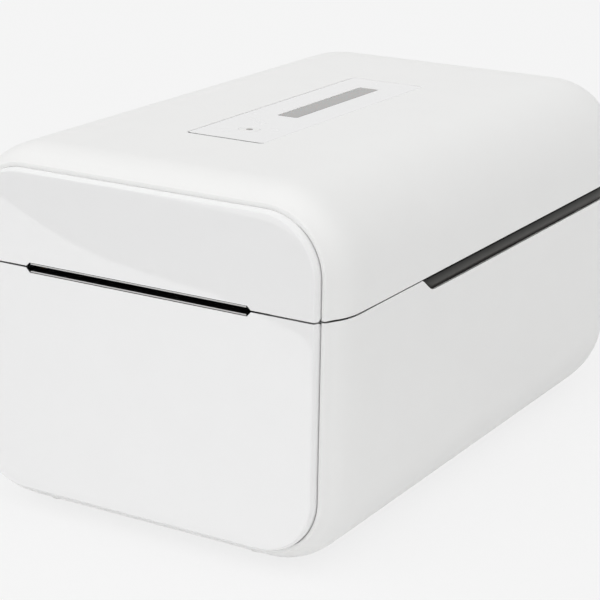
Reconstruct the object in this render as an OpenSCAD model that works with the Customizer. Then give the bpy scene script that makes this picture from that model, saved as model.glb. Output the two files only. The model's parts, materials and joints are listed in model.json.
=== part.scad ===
// Desktop label printer: a rear-hinged lid over a drop-in roll bay, with a direct thermal print
// mechanism behind the front slot. Millimetres.
// +X is the right-hand side seen from the front, +Y the rear, +Z up.
// The origin is the centre of the casing's footprint, level with the undersides of the feet.

/* [Casing] */
// Width of the casing
body_w = 180; // [176:1:200]
// Depth of the casing, front to rear
body_d = 300; // [296:1:330]
// Height of the casing above its feet
body_h = 155; // [152:1:170]
// Height of the lid joint above the casing's underside
split_h = 106.5; // [104:0.5:109]
// Open gap between the lid and the base along the joint
lid_gap = 0.5; // [0.3:0.1:0.8]
// Wall thickness of the outer shells
wall = 2.6; // [2.2:0.1:3]
// Thickness of the front walls, where the front panels are let in
front_wall = 6.5; // [6:0.5:8]
// Radius of the two long top edges
top_r = 33.5; // [32:0.5:38]
// Radius of the two long bottom edges
bottom_r = 31.7; // [31.2:0.1:33]
// Size of the rounding around the front face
front_round = 22.7; // [18:0.1:24]
// Fullness of the front rounding, 2 is a circle
front_power = 2.5; // [2:0.1:3]
// Length of the rounding around the rear face
rear_round = 45; // [40:1:50]
// Inward drop of the rounding around the rear face
rear_drop = 31; // [28:0.5:31]
// Fullness of the rear rounding, 2 is a circle
rear_power = 2.3; // [2:0.1:3]

/* [Front panels] */
// Distance from the casing's side to the front panel
panel_side = 7.5; // [7:0.1:10]
// Distance from the casing's top to the upper front panel
panel_edge = 8.1; // [7:0.1:10]
// Distance from the casing's bottom to the lower front panel
panel_foot = 8.7; // [7:0.1:10]
// Corner radius of the front panel outline
panel_r = 24.8; // [20:0.1:26]
// Thickness of the front panels
panel_t = 4.6; // [4.4:0.1:5]
// Seam width around the front panels
panel_seam = 0.35; // [0.2:0.05:0.6]
// Width of the casing's flat rim around that seam
rim_w = 1.6; // [1:0.1:2.4]
// Distance from the front of the printer back to the rim
rim_depth = 3.6; // [3.2:0.1:4]
// Width of the shoulder that carries the front panels
panel_shoulder = 3; // [2:0.5:5]

/* [Label slot] */
// Distance from the casing's side to the tip of the label slot
slot_side = 35.9; // [34:0.1:37]
// Distance from the slot's tip to the end of the tear bars
tear_side = 2.4; // [2.1:0.1:4]
// Thickness of the tear bars
tear_t = 0.8; // [0.6:0.1:1]
// Height of the slot above the joint
slot_up = 1.9; // [1.7:0.1:2.4]
// Depth of the slot below the joint
slot_down = 2.3; // [2.1:0.1:2.6]
// Height of the tear bars' upright leaves
tear_leaf = 8; // [6:0.5:10]

/* [Top strip] */
// Width of the control strip on the lid
strip_w = 37.3; // [34:0.1:40]
// Length of the control strip
strip_len = 142.8; // [138:0.1:150]
// Distance from the front of the casing to the strip
strip_set = 65.2; // [62:0.1:70]
// Thickness of the strip
strip_t = 1.5; // [1.2:0.1:1.6]
// Corner radius of the strip
strip_r = 2; // [1:0.5:4]
// Seam width around the strip, the window and the button
strip_seam = 0.15; // [0.1:0.05:0.25]
// Width of the wider seam at the front end of the strip
strip_front_seam = 0.5; // [0.2:0.05:0.8]
// Width of the status window
window_w = 10.1; // [8:0.1:12]
// Length of the status window
window_len = 74.8; // [60:0.1:80]
// Distance from the front of the strip to the window
window_set = 49.7; // [44:0.1:56]
// Diameter of the feed button
button_d = 9; // [8:0.5:10]
// Distance from the front of the strip to the centre of the button
button_set = 19.3; // [16:0.1:24]
// Travel of the feed button
button_travel = 0.5; // [0.3:0.1:0.5]

/* [Grip band] */
// Distance from the front of the casing to the start of the grip band
band_set = 72.9; // [72:0.1:80]
// Height of the grip band under the lid joint
band_h = 6.5; // [6.3:0.1:7]
// Length of the slanted front end of the band
band_slant = 8.6; // [6:0.1:12]
// Inset of the band from the casing's outside
band_inset = 1.2; // [0.8:0.1:1.6]

/* [Feet] */
// Height of the feet under the casing
foot_h = 3; // [2:0.5:5]
// Diameter of the feet
foot_d = 16; // [12:1:20]
// Depth to which the feet are let into the base
foot_recess = 1; // [0.5:0.1:1.4]
// Distance from the casing's side to the centre of a foot
foot_side = 42; // [41:1:50]
// Distance from the casing's front and rear to the centre of a foot
foot_end = 48; // [45:1:60]

/* [Roll bay] */
// Distance from the front of the casing to the bay
mech_len = 66; // [66:1:70]
// Length of the bay, front to rear
bay_len = 146; // [140:1:150]
// Distance from the casing's side to the bay
bay_side = 16; // [15.5:0.5:17]
// Wall thickness of the bay and of the lid liner
liner_t = 2; // [1.6:0.1:2.2]
// Diameter of the largest roll
roll_d = 127; // [110:1:127]
// Clearance under and around the largest roll
roll_gap = 4; // [3:0.5:5]

/* [Roll guides] */
// Distance from the bay's side to a guide's face when the guides are fully open
guide_side = 19; // [18.5:0.5:20]
// Distance between the guides' faces when they are closed
guide_closed = 30; // [28:1:50]
// Thickness of the guide plates
guide_t = 3; // [2.5:0.1:3.5]
// Diameter of the hubs that enter the roll's core
hub_d = 24; // [20:0.5:25]
// Length of the hubs
hub_len = 8; // [6:0.5:10]
// Diameter of the two rods that carry the guides
rail_d = 5; // [4:0.5:6]
// Distance between the rods
rail_span = 50; // [46:1:56]
// Teeth on the guide pinion
pinion_teeth = 16; // [16:1:18]

/* [Print mechanism] */
// Radius of the rubber platen roller
platen_r = 8; // [7:0.1:8.5]
// Distance from the front of the casing to the platen's axis
platen_set = 22; // [21.5:0.1:23]
// Distance from the rubber sleeve to the side plates
platen_side = 4; // [3:0.5:5]
// Diameter of the platen's steel shaft
shaft_d = 5; // [4:0.5:6]
// Gap between the print head and the platen
head_gap = 0.3; // [0.3:0.1:0.6]
// Distance from the casing's side to the mechanism's side plates
mech_side = 31; // [31:0.5:31.5]
// Thickness of the steel plates
plate_t = 1.5; // [1.2:0.1:1.6]
// Gear module
gear_m = 0.8; // [0.8:0.05:0.85]
// Teeth on the platen gear
platen_teeth = 28; // [26:1:28]
// Teeth on the idler's small wheel
idler_small = 14; // [13:1:14]
// Teeth on the idler's large wheel
idler_large = 40; // [38:1:40]
// Teeth on the motor pinion
motor_teeth = 12; // [12:1:13]
// Diameter of the stepper motor
motor_d = 35; // [33:1:35]
// Length of the motor's can
motor_len = 23; // [20:1:26]
// Swing of the latch hooks from released to engaged, in degrees
latch_swing = 10; // [9:0.5:10]

/* [Hinge] */
// Diameter of the hinge knuckles
knuckle_d = 5.6; // [5.2:0.1:5.8]
// Diameter of the hinge pins
hinge_pin_d = 2.5; // [2:0.1:3]
// Distance from the casing's side to the middle of a hinge
hinge_side = 42; // [40:1:50]
// Width of the lid's knuckle
knuckle_w = 5.4; // [4:0.2:8]

/* [Fits] */
// Gap between pieces that move past each other
run_gap = 0.3; // [0.3:0.05:0.4]
// Radial clearance of a turning shaft in its bore
shaft_fit = 0.05; // [0.02:0.01:0.08]

/* [Hidden] */

bend_steps = 14;      // straight steps in each edge rounding
corner_steps = 8;     // straight steps in each corner of a rounded outline
eps = 1;              // overshoot of cutters past the faces they cut
big = 2 * body_d;     // size of half-space cutters
skim = 0.01;          // overlap that fuses two faces of one piece

white = "#e8e8e6";
dark = "#454543";
steel = "#a8abad";
black = "#1b1b1c";
green = "#1f5c3a";

// Main levels and planes
front_y = -body_d / 2;
rear_y = body_d / 2;
base_z = foot_h;
split_z = foot_h + split_h;
top_z = foot_h + body_h;
base_edge_z = split_z - lid_gap / 2;
lid_edge_z = split_z + lid_gap / 2;
panel_w = body_w - 2 * panel_side;
panel_h = body_h - panel_edge - panel_foot;
panel_mid_z = base_z + panel_foot + panel_h / 2;
panel_back_y = front_y + panel_t;
rim_flare = [5.5, 2.6];
front_inner_y = front_y + front_wall;

// Label slot and feet
slot_w = body_w - 2 * slot_side;
slot_tip = 2;
tear_gap = 0.2;
upper_lip_z = split_z + slot_up - tear_gap;
lower_lip_z = split_z - slot_down + tear_gap;
tear_w = slot_w - 2 * tear_side;
foot_span_x = body_w - 2 * foot_side;
foot_span_y = body_d - 2 * foot_end;

// Grip band
band_front_y = front_y + band_set;
band_z = split_z - band_h;
band_gap = run_gap;
frame_inset = wall + run_gap;
deck_top_z = base_edge_z - 0.05;
deck_t = 2.5;
deck_z = deck_top_z - deck_t;
deck_skirt_z = deck_z - 10;
deck_boss_z = band_z - 1;

// Roll bay
bay_front_y = front_y + mech_len;
bay_rear_y = bay_front_y + bay_len;
bay_mid_y = (bay_front_y + bay_rear_y) / 2;
bay_w = body_w - 2 * bay_side;
bay_under = 2.4;
bay_floor_z = base_z + wall + bay_under + liner_t;
bay_chamfer = 9;
hub_z = bay_floor_z + roll_gap + roll_d / 2;

// Roll guides
guide_open = bay_w - 2 * guide_side;
guide_travel = (guide_open - guide_closed) / 2;
rack_m = 1;
rack_pitch = PI * rack_m;
pinion_pitch_r = pinion_teeth * rack_m / 2;
rack_z = bay_floor_z + run_gap;
rack_t = 3;
rack_w = 4;
foot_z = rack_z + rack_t + run_gap;
foot_w = 12;
foot_block_h = 7.4;
foot_past = 7;
foot_len = rail_span + 2 * foot_past;
rail_z = foot_z + foot_block_h / 2;

// Print mechanism
platen_y = front_y + platen_set;
nip_z = split_z - 0.1;
platen_z = nip_z - platen_r;
idler_tilt = -60;
idler_reach = gear_m * (platen_teeth + idler_small) / 2;
idler_y = platen_y + idler_reach * cos(idler_tilt);
idler_z = platen_z + idler_reach * sin(idler_tilt);
motor_tilt = -72.6;
motor_reach = gear_m * (idler_large + motor_teeth) / 2;
motor_y = idler_y + motor_reach * cos(motor_tilt);
motor_z = idler_z + motor_reach * sin(motor_tilt);
plate_x = body_w / 2 - mech_side;
plate_out_x = plate_x + plate_t;
platen_len = 2 * (plate_x - platen_side);
gear_gap = 1;
gear_x = plate_out_x + gear_gap;
small_gear_t = 4.5;
gear_step = 0.5;
large_gear_x = gear_x + small_gear_t + gear_step;
large_gear_t = 3;
mech_set = 8;
mech_rear_gap = 2.5;
mech_floor_up = 41;
mech_top_drop = 3.5;
mech_front_y = front_y + mech_set;
mech_rear_y = bay_front_y - liner_t - mech_rear_gap;
mech_floor_z = base_z + mech_floor_up;
mech_top_z = split_z - mech_top_drop;
bush_wall = 2;
bush_flange = 1.5;
idler_pin_d = 3;
motor_shaft_d = 2;
motor_boss_d = 7;
motor_flange_t = 2;
motor_ear_r = motor_d / 2 + 3.5;
motor_ear_w = 8;
motor_ear_turn = 20;

// Latch, with the hooks released at rest
latch_in = 9.5;
latch_drop = 23.5;
latch_y = mech_rear_y - latch_in;
latch_z = split_z - latch_drop;
latch_shaft_d = 4;
hook_gap = 1.5;
hook_x = plate_out_x + hook_gap;
hook_t = 2;
hook_half = 4;
hook_foot = 5;
hook_bend = 6;
nose_t = 2.5;
nose_reach = 3.8;
catch_d = 4;
catch_fore = 6;
catch_drop = 1.5;
catch_y = latch_y - catch_fore;
catch_z = split_z - catch_drop;

// Print head in the lid
head_fore = 8;
head_side = 2;
ceramic_t = 1.5;
sink_t = 4.8;
head_z = nip_z + head_gap;
head_y = platen_y - head_fore;
head_x = plate_x - head_side;
head_pin_d = 3;
pivot_fore = 2;
pivot_tail = 3;
head_pivot_y = latch_y - pivot_fore;
head_pivot_z = head_z + ceramic_t + sink_t + 1;
head_rear_y = head_pivot_y + pivot_tail;
head_spring_in = 27;
head_spring_x = head_x - head_spring_in;
carrier_up = 14.5;
carrier_z = split_z + carrier_up;
cheek_gap = 2;
cheek_len = 10;
cheek_foot = 1;
cheek_x = hook_x + hook_t + cheek_gap;
carrier_rear_y = head_pivot_y + 6;
carrier_front_y = front_y + 2 * front_wall;

// Lid inside
liner_front_y = bay_front_y - liner_t;
liner_back = 18;
liner_drop = 12;
liner_rear_y = rear_y - liner_back;
liner_top_z = top_z - liner_drop;
liner_flange_t = 3;
liner_flange_z = lid_edge_z + 0.45;
label_path_side = 2;
label_path_w = platen_len + 2 * label_path_side;
label_path_h = 12;
strip_front_y = front_y + strip_set;
strip_mid_y = strip_front_y + strip_len / 2;
strip_z = top_z - strip_t;
button_y = strip_front_y + button_set;
window_mid_y = strip_front_y + window_set + window_len / 2;
board_t = 1.6;
control_drop = 10;
control_end = 7;
control_z = top_z - control_drop;
control_w = 30;
control_len = strip_len - 2 * control_end;
switch_h = 3.4;
switch_d = 3.5;
button_rim = 1.2;
ceiling_z = top_z - wall;

// Electronics at the rear of the base
board_up = 33;
board_gap = 10;
board_side = 28;
board_z = base_z + board_up;
board_front_y = bay_rear_y + board_gap;
board_rear_y = rear_y - board_gap;
board_w = body_w - 2 * board_side;
cap_d = 10;
cap_h = 16;
cap_y = board_front_y + 22;
chip_w = 14;
chip_t = 1.6;
chip_y = board_front_y + 20;
header_w = 22;
header_d = 7;
header_h = 9;
header_y = board_front_y + 10;
relay_w = 12;
relay_h = 6;
relay_y = board_front_y + 30;
jack_d = 8.6;
jack_w = 9;
jack_len = 12;
plug_d = 6.4;
plug_pin_d = 2;
port_w = 9;
port_h = 3.2;
port_wall = 0.4;
port_len = 12;
port_fit = 0.4;
port_z = board_z + board_t + jack_w / 2;
jack_x = -42;
data_x = -16;

// Power switch
rocker_x = 36;
rocker_rise = 27;
rocker_z = board_z + rocker_rise;
rocker_w = 10;
rocker_half = 7.8;
rocker_tilt = 6;
well_depth = 3;
well_side = 3.4;
well_wall = 4;
housing_w = 12.8;
housing_h = 19;
housing_len = 18;
housing_wall = 0.9;
housing_fit = 0.2;
bezel = 1.2;
bezel_t = 1;
rocker_in = 2.2;
rocker_pivot_y = rear_y - well_depth - rocker_in;
well_w = housing_w + 2 * (bezel + well_side);
well_h = housing_h + 2 * (bezel + well_side);

// Hinge
hinge_in = 3;
hinge_drop = 0.4;
hinge_y = rear_y - hinge_in;
hinge_z = split_z - knuckle_d / 2 - hinge_drop;
hinge_span = body_w - 2 * hinge_side;
base_knuckle_w = 5;
knuckle_gap = run_gap;
hinge_half = knuckle_w / 2 + knuckle_gap + base_knuckle_w;

// Screws
screw_d = 3;
screw_head_d = 5.5;
screw_head_h = 1.8;
head_clear = 0.4;
post_d = 8;
post_in = 7;
side_boss_in = 8.5;
side_boss_x = body_w / 2 - side_boss_in;
side_boss_d = 7;
side_boss_h = 10;
liner_boss_gap = 5.5;
liner_w = 2 * (side_boss_x - liner_boss_gap);
mech_post_y = [mech_front_y + post_in, mech_rear_y - 6];
mech_post_x = plate_x - 9;
deck_boss_y = [bay_front_y + 18, bay_rear_y + 28];
board_post_y = [board_front_y + 4, board_rear_y - 5];
board_post_x = board_w / 2 - 6;
carrier_post_y = [carrier_front_y + post_in, carrier_rear_y - post_in];
liner_boss_y = [liner_front_y + 16, liner_rear_y - 52];
control_post_in = 4;
control_screw_d = 2;
control_head_d = 4;
control_head_h = 1.2;
control_post_x = control_w / 2 - control_post_in;
control_post_y = [strip_mid_y - control_len / 2 + 3, strip_mid_y + control_len / 2 - 3];

// ---------------------------------------------------------------- shapes

// Depth from the end face and inward drop along one edge rounding, from the face inwards
function bend(len, drop, power) = [
    for (i = [0:bend_steps]) let (a = 90 * i / bend_steps)
        [len * (1 - pow(cos(a), 2 / power)), drop * (1 - pow(sin(a), 2 / power))]
];

function backwards(list) = [for (i = [len(list) - 1:-1:0]) list[i]];

// Every step of the casing from front to rear as [y, drop from its full section]
function casing_steps(inset) = concat(
    [for (p = bend(front_round - inset, front_round - inset, front_power)) [front_y + inset + p[0], p[1]]],
    backwards([for (p = bend(rear_round - inset, rear_drop - inset, rear_power))
        [rear_y - inset - p[0], p[1]]])
);

// Corner points of a rounded rectangle about the origin
function rounded(w, h, r) = [
    for (q = [0:3], i = [0:corner_steps]) let (a = 90 * q + 90 * i / corner_steps)
        [(w / 2 - r) * (q == 0 || q == 3 ? 1 : -1) + r * cos(a),
         (h / 2 - r) * (q < 2 ? 1 : -1) + r * sin(a)]
];

module along_x(len) { rotate([90, 0, 90]) linear_extrude(height = len, center = true) children(); }
module along_y(y0, y1) { translate([0, y1, 0]) rotate([90, 0, 0]) linear_extrude(height = y1 - y0)
    children(); }

// Upper half of the casing standing on z = 0, with a plain skirt below
module casing_half(height, corner, inset, skirt) {
    steps = casing_steps(inset);
    w = body_w / 2 - inset;
    h = height - inset;
    r = corner - inset;
    first = steps[0][0];
    last = steps[len(steps) - 1][0];
    along_x(2 * (w - r)) polygon(concat([[last, -skirt], [first, -skirt]],
        [for (p = steps) [p[0], h - p[1]]]));
    translate([0, 0, -skirt]) linear_extrude(height = h - r + skirt)
        polygon(concat([for (p = steps) [w - p[1], p[0]]], [for (p = backwards(steps)) [p[1] - w, p[0]]]));
    for (side = [0, 1]) mirror([side, 0, 0]) translate([w - r, 0, h - r])
        rotate([-90, 0, 0]) rotate([0, 0, -90]) rotate_extrude(angle = 90, $fn = 96)
            polygon(concat([[0, last], [0, first]], [for (p = steps) [r - p[1], p[0]]]));
}

module upper_body(inset, skirt = 0) {
    translate([0, 0, split_z]) casing_half(top_z - split_z, top_r, inset, skirt);
}

module lower_body(inset, skirt = 0) {
    translate([0, 0, split_z]) mirror([0, 0, 1]) casing_half(split_z - base_z, bottom_r, inset, skirt);
}

module above(z) { translate([-big / 2, -big / 2, z]) cube([big, big, big]); }
module below(z) { translate([-big / 2, -big / 2, z - big]) cube([big, big, big]); }
module behind(y) { translate([-big / 2, y, -big / 2]) cube([big, big, big]); }
module box(low, high) { translate(low) cube(high - low); }
module rod_x(d, x0, x1, y, z) { translate([x0, y, z]) rotate([0, 90, 0])
    cylinder(d = d, h = x1 - x0, $fn = 48); }
module rod_y(d, y0, y1, x, z) { translate([x, y1, z]) rotate([90, 0, 0])
    cylinder(d = d, h = y1 - y0, $fn = 48); }
module rod_z(d, z0, z1, x, y) { translate([x, y, z0]) cylinder(d = d, h = z1 - z0, $fn = 48); }

// Corner points of the front panels' upright outline, grown by a gap
function panel_points(gap) = rounded(panel_w + 2 * gap, panel_h + 2 * gap, panel_r + gap);

module panel_outline(gap) { translate([0, panel_mid_z]) polygon(panel_points(gap)); }

// Solid through a list of panel outlines, each given as [growth, depth behind the front]
module outline_stack(steps) {
    n = 4 * (corner_steps + 1);
    rings = [for (s = steps, p = panel_points(s[0])) [p[0], front_y + s[1], panel_mid_z + p[1]]];
    last = (len(steps) - 1) * n;
    caps = [[for (k = [0:n - 1]) k], [for (k = [n - 1:-1:0]) last + k]];
    walls = [for (i = [0:len(steps) - 2], k = [0:n - 1]) let (a = i * n, m = (k + 1) % n)
        [a + k, a + n + k, a + n + m, a + m]];
    polyhedron(points = rings, faces = concat(caps, walls), convexity = 4);
}

// Flat rim around the front panels that flares back into the casing's rounding
module panel_rim() {
    edge = panel_seam + rim_w;
    outline_stack([[edge + rim_flare[1], rim_depth + rim_flare[0]], [edge, rim_depth]]);
}

// One of the two round posts or bosses of a symmetric pair
module both_sides() { for (side = [0, 1]) mirror([side, 0, 0]) children(); }

// Boss on a side wall, joined to it by a web
module side_boss(y, z0, z1) {
    rod_z(side_boss_d, z0, z1, side_boss_x, y);
    box([side_boss_x, y - side_boss_d / 4, z0], [body_w / 2 - wall / 2, y + side_boss_d / 4, z1]);
}

// Pan head screw with its head on top at the given height, pointing down
module screw_down(x, y, z, len) {
    rod_z(screw_head_d, z, z + screw_head_h, x, y);
    rod_z(screw_d, z - len, z + skim, x, y);
}

// Pan head screw with its head below the given height, pointing up
module screw_up(x, y, z, len) {
    rod_z(screw_head_d, z - screw_head_h, z, x, y);
    rod_z(screw_d, z - skim, z + len, x, y);
}

// Tube of round wire along a path of points that winds about the axis of unit vector ax
module wire(path, r, ax, sides = 6) {
    n = len(path);
    function unit(v) = v / norm(v);
    rings = [for (i = [0:n - 1])
        let (t = unit(path[min(i + 1, n - 1)] - path[max(i - 1, 0)]), u = unit(cross(ax, t)),
            v = cross(t, u))
        for (k = [0:sides - 1]) let (a = 360 * k / sides) path[i] + r * (cos(a) * u + sin(a) * v)];
    caps = [[for (k = [sides - 1:-1:0]) k], [for (k = [0:sides - 1]) (n - 1) * sides + k]];
    walls = [for (i = [0:n - 2], k = [0:sides - 1], half = [0, 1]) let (a = i * sides, m = (k + 1) % sides)
        half == 0 ? [a + k, a + m, a + sides + m] : [a + k, a + sides + m, a + sides + k]];
    polyhedron(points = rings, faces = concat(caps, walls), convexity = 8);
}

// Gear outline with straight-flanked teeth, one tooth pointing along turn degrees
module gear_outline(teeth, m, turn) {
    pitch = 360 / teeth;
    r = teeth * m / 2;
    polygon([for (i = [0:teeth - 1],
        p = [[-0.29, -1.2], [-0.2, 0], [-0.1, 0.9], [0.1, 0.9], [0.2, 0], [0.29, -1.2]])
        let (a = turn + pitch * (i + p[0]), d = r + p[1] * m) [d * cos(a), d * sin(a)]]);
}

// Gear on an axis along X, from x0 to x0 + t
module gear_x_axis(teeth, turn, x0, t, y, z) {
    translate([x0, y, z]) rotate([90, 0, 90]) linear_extrude(height = t) gear_outline(teeth, gear_m, turn);
}

// ---------------------------------------------------------------- casing

// Side cut of the base for the grip band, with a slanted front end
module band_cut(gap) {
    along_x(big) polygon([
        [band_front_y + gap - eps * band_slant / band_h, split_z + eps],
        [band_front_y + band_slant + gap, band_z + gap],
        [big, band_z + gap], [big, split_z + eps]
    ]);
}

module base_posts() {
    both_sides() {
        for (y = mech_post_y) rod_z(post_d, base_z, mech_floor_z, mech_post_x, y);
        for (y = board_post_y) rod_z(post_d, base_z, board_z, board_post_x, y);
        for (y = deck_boss_y) side_boss(y, deck_boss_z - side_boss_h, deck_boss_z);
        box([mech_post_x - 1.5, bay_front_y, base_z],
            [mech_post_x + 1.5, bay_rear_y, bay_floor_z - liner_t]);
    }
}

module base_shell() {
    color(white) difference() {
        union() {
            difference() {
                union() {
                    lower_body(0);
                    panel_rim();
                }
                intersection() {
                    lower_body(wall, eps);
                    behind(front_inner_y);
                }
            }
            intersection() {
                lower_body(wall / 2);
                union() {
                    base_posts();
                    box([rocker_x - well_w / 2 - well_wall, rear_y - well_depth - wall,
                        rocker_z - well_h / 2 - well_wall],
                        [rocker_x + well_w / 2 + well_wall, rear_y, rocker_z + well_h / 2 + well_wall]);
                }
            }
        }
        above(base_edge_z);
        band_cut(0);
        along_y(front_y - eps, panel_back_y) panel_outline(panel_seam);
        along_y(front_y, front_inner_y + eps) panel_outline(-panel_shoulder);
        for (y = [-0.5, 0.5], x = [-0.5, 0.5])
            rod_z(foot_d, base_z - eps, base_z + foot_recess, x * foot_span_x, y * foot_span_y);
        both_sides() {
            for (y = mech_post_y) rod_z(screw_d, mech_floor_z - 10, mech_floor_z + eps, mech_post_x, y);
            for (y = board_post_y) rod_z(screw_d, board_z - 8, board_z + eps, board_post_x, y);
            for (y = deck_boss_y) rod_z(screw_d, deck_boss_z - 8, deck_boss_z + eps, side_boss_x, y);
        }
        rod_y(jack_d + 2 * run_gap, rear_y - wall - eps, rear_y + eps, jack_x, port_z);
        box([data_x - port_w / 2 - port_fit, rear_y - wall - eps, port_z - port_h / 2 - port_fit],
            [data_x + port_w / 2 + port_fit, rear_y + eps, port_z + port_h / 2 + port_fit]);
        box([rocker_x - well_w / 2, rear_y - well_depth, rocker_z - well_h / 2],
            [rocker_x + well_w / 2, rear_y + eps, rocker_z + well_h / 2]);
        box([rocker_x - housing_w / 2 - housing_fit, rear_y - well_depth - 2 * wall,
            rocker_z - housing_h / 2 - housing_fit],
            [rocker_x + housing_w / 2 + housing_fit, rear_y, rocker_z + housing_h / 2 + housing_fit]);
    }
}

// Front panel shape: a thin crowned slab whose front edge rolls back to the seam
module panel_slab() {
    outline_stack([[0, panel_t], [0, 2.9], [-0.5, 2.2], [-1.5, 1.7], [-4, 1.1], [-8, 0.5],
        [-14, 0.12], [-20, 0]]);
}

module slot_cut() {
    along_y(front_y - eps, front_y + 20) polygon([
        [-slot_w / 2, split_z], [slot_tip - slot_w / 2, split_z + slot_up],
        [slot_w / 2 - slot_tip, split_z + slot_up], [slot_w / 2, split_z],
        [slot_w / 2 - slot_tip, split_z - slot_down], [slot_tip - slot_w / 2, split_z - slot_down]
    ]);
}

// Pegs on the back of a front panel that hold the tear bar's leaf
stake_in = 12.5;
stake_x = [-1, 0, 1] * (tear_w / 2 - stake_in);
stake_d = 3;
leaf_y = panel_back_y + 0.4;

module stakes(z) { for (x = stake_x) rod_y(stake_d, panel_back_y - 1, leaf_y + tear_t + 1, x, z); }

module lower_front_panel() {
    color(white) {
        difference() {
            panel_slab();
            above(base_edge_z);
            slot_cut();
        }
        stakes(lower_lip_z - tear_leaf / 2);
    }
}

module upper_front_panel() {
    color(white) {
        difference() {
            panel_slab();
            below(lid_edge_z);
            slot_cut();
        }
        stakes(upper_lip_z + tear_leaf / 2);
    }
}

// L-shaped tear bar: a lip in the slot and a leaf behind the panel
module tear_bar(z0, z1, leaf_z0, leaf_z1, stake_z) {
    difference() {
        union() {
            box([-tear_w / 2, front_y + 0.2, z0], [tear_w / 2, leaf_y + tear_t, z1]);
            box([-tear_w / 2, leaf_y, leaf_z0], [tear_w / 2, leaf_y + tear_t, leaf_z1]);
        }
        for (x = stake_x) rod_y(stake_d, panel_back_y, leaf_y + tear_t + eps, x, stake_z);
    }
}

module upper_tear_bar() {
    z = upper_lip_z;
    color("#d8d8d6") tear_bar(z - tear_t, z, z - tear_t, z + tear_leaf, z + tear_leaf / 2);
}

module lower_tear_bar() {
    z = lower_lip_z;
    color("#d8d8d6") tear_bar(z, z + tear_t, z - tear_leaf, z + tear_t, z - tear_leaf / 2);
}

module lid_shell() {
    color(white) difference() {
        union() {
            difference() {
                union() {
                    upper_body(0);
                    panel_rim();
                }
                intersection() {
                    upper_body(wall, eps);
                    behind(front_inner_y);
                }
                below(lid_edge_z);
            }
            intersection() {
                upper_body(wall / 2);
                both_sides() {
                    for (y = carrier_post_y) rod_z(post_d, carrier_z + plate_t, top_z, mech_post_x, y);
                    for (y = liner_boss_y)
                        side_boss(y, liner_flange_z + liner_flange_t,
                            liner_flange_z + liner_flange_t + side_boss_h);
                    for (y = control_post_y)
                        rod_z(control_screw_d + 3, control_z + board_t, ceiling_z + 0.5, control_post_x, y);
                }
            }
            for (side = [-0.5, 0.5]) translate([side * hinge_span, 0, 0]) {
                rod_x(knuckle_d, -knuckle_w / 2, knuckle_w / 2, hinge_y, hinge_z);
                box([-knuckle_w / 2, rear_y - wall, hinge_z], [knuckle_w / 2, rear_y, lid_edge_z + 1]);
            }
        }
        along_y(front_y - eps, panel_back_y) panel_outline(panel_seam);
        along_y(front_y, front_inner_y + eps) panel_outline(-panel_shoulder);
        for (side = [-0.5, 0.5]) translate([side * hinge_span, 0, 0])
            rod_x(hinge_pin_d + 2 * shaft_fit, -knuckle_w, knuckle_w, hinge_y, hinge_z);
        translate([0, strip_mid_y - (strip_front_seam - strip_seam) / 2, strip_z])
            linear_extrude(height = strip_t + eps) polygon(rounded(strip_w + 2 * strip_seam,
                strip_len + strip_seam + strip_front_seam, strip_r + strip_seam));
        rod_z(button_d + 2 * (button_rim + run_gap + 0.5), control_z, top_z + eps, 0, button_y);
        translate([0, window_mid_y, control_z + board_t]) linear_extrude(height = top_z - control_z)
            polygon(rounded(window_w + 0.6, window_len + 0.6, 1));
        both_sides() {
            for (y = carrier_post_y) rod_z(screw_d, carrier_z, carrier_z + 12, mech_post_x, y);
            for (y = liner_boss_y)
                rod_z(screw_d, liner_flange_z, liner_flange_z + liner_flange_t + 8, side_boss_x, y);
            for (y = control_post_y)
                rod_z(control_screw_d, control_z, control_z + board_t + 5, control_post_x, y);
        }
    }
}

module control_strip() {
    color("#ebebea") translate([0, strip_mid_y, strip_z]) difference() {
        linear_extrude(height = strip_t) polygon(rounded(strip_w, strip_len, strip_r));
        translate([0, window_mid_y - strip_mid_y, -eps]) linear_extrude(height = strip_t + 2 * eps)
            polygon(rounded(window_w, window_len, 1));
        translate([0, button_y - strip_mid_y, -eps])
            cylinder(d = button_d + 2 * strip_seam, h = strip_t + 2 * eps, $fn = 64);
    }
}

module status_window() {
    color("#b7b5b1") translate([0, window_mid_y, strip_z]) linear_extrude(height = strip_t - 0.1)
        polygon(rounded(window_w - 2 * strip_seam, window_len - 2 * strip_seam, 1));
}

module light_guide() {
    color("#f2f2f0") box([0.8 - window_w / 2, window_mid_y - window_len / 2 + 1, control_z + board_t],
        [window_w / 2 - 0.8, window_mid_y + window_len / 2 - 1, strip_z]);
}

module feed_button() {
    color("#e2e2e0") {
        rod_z(button_d, strip_z - 0.2, top_z, 0, button_y);
        rod_z(button_d + 2 * button_rim, strip_z - 1.2, strip_z - 0.2, 0, button_y);
        rod_z(switch_d, control_z + board_t + switch_h + button_travel + 0.1, strip_z - 1.2, 0, button_y);
    }
}

module control_board() {
    color(green) difference() {
        union() {
            box([-control_w / 2, strip_mid_y - control_len / 2, control_z],
                [control_w / 2, strip_mid_y + control_len / 2, control_z + board_t]);
            box([-3, button_y - 3, control_z + board_t],
                [3, button_y + 3, control_z + board_t + switch_h - 1]);
            rod_z(switch_d, control_z + board_t, control_z + board_t + switch_h, 0, button_y);
        }
        both_sides() for (y = control_post_y)
            rod_z(control_screw_d, control_z - eps, control_z + board_t + eps, control_post_x, y);
    }
}

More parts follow.
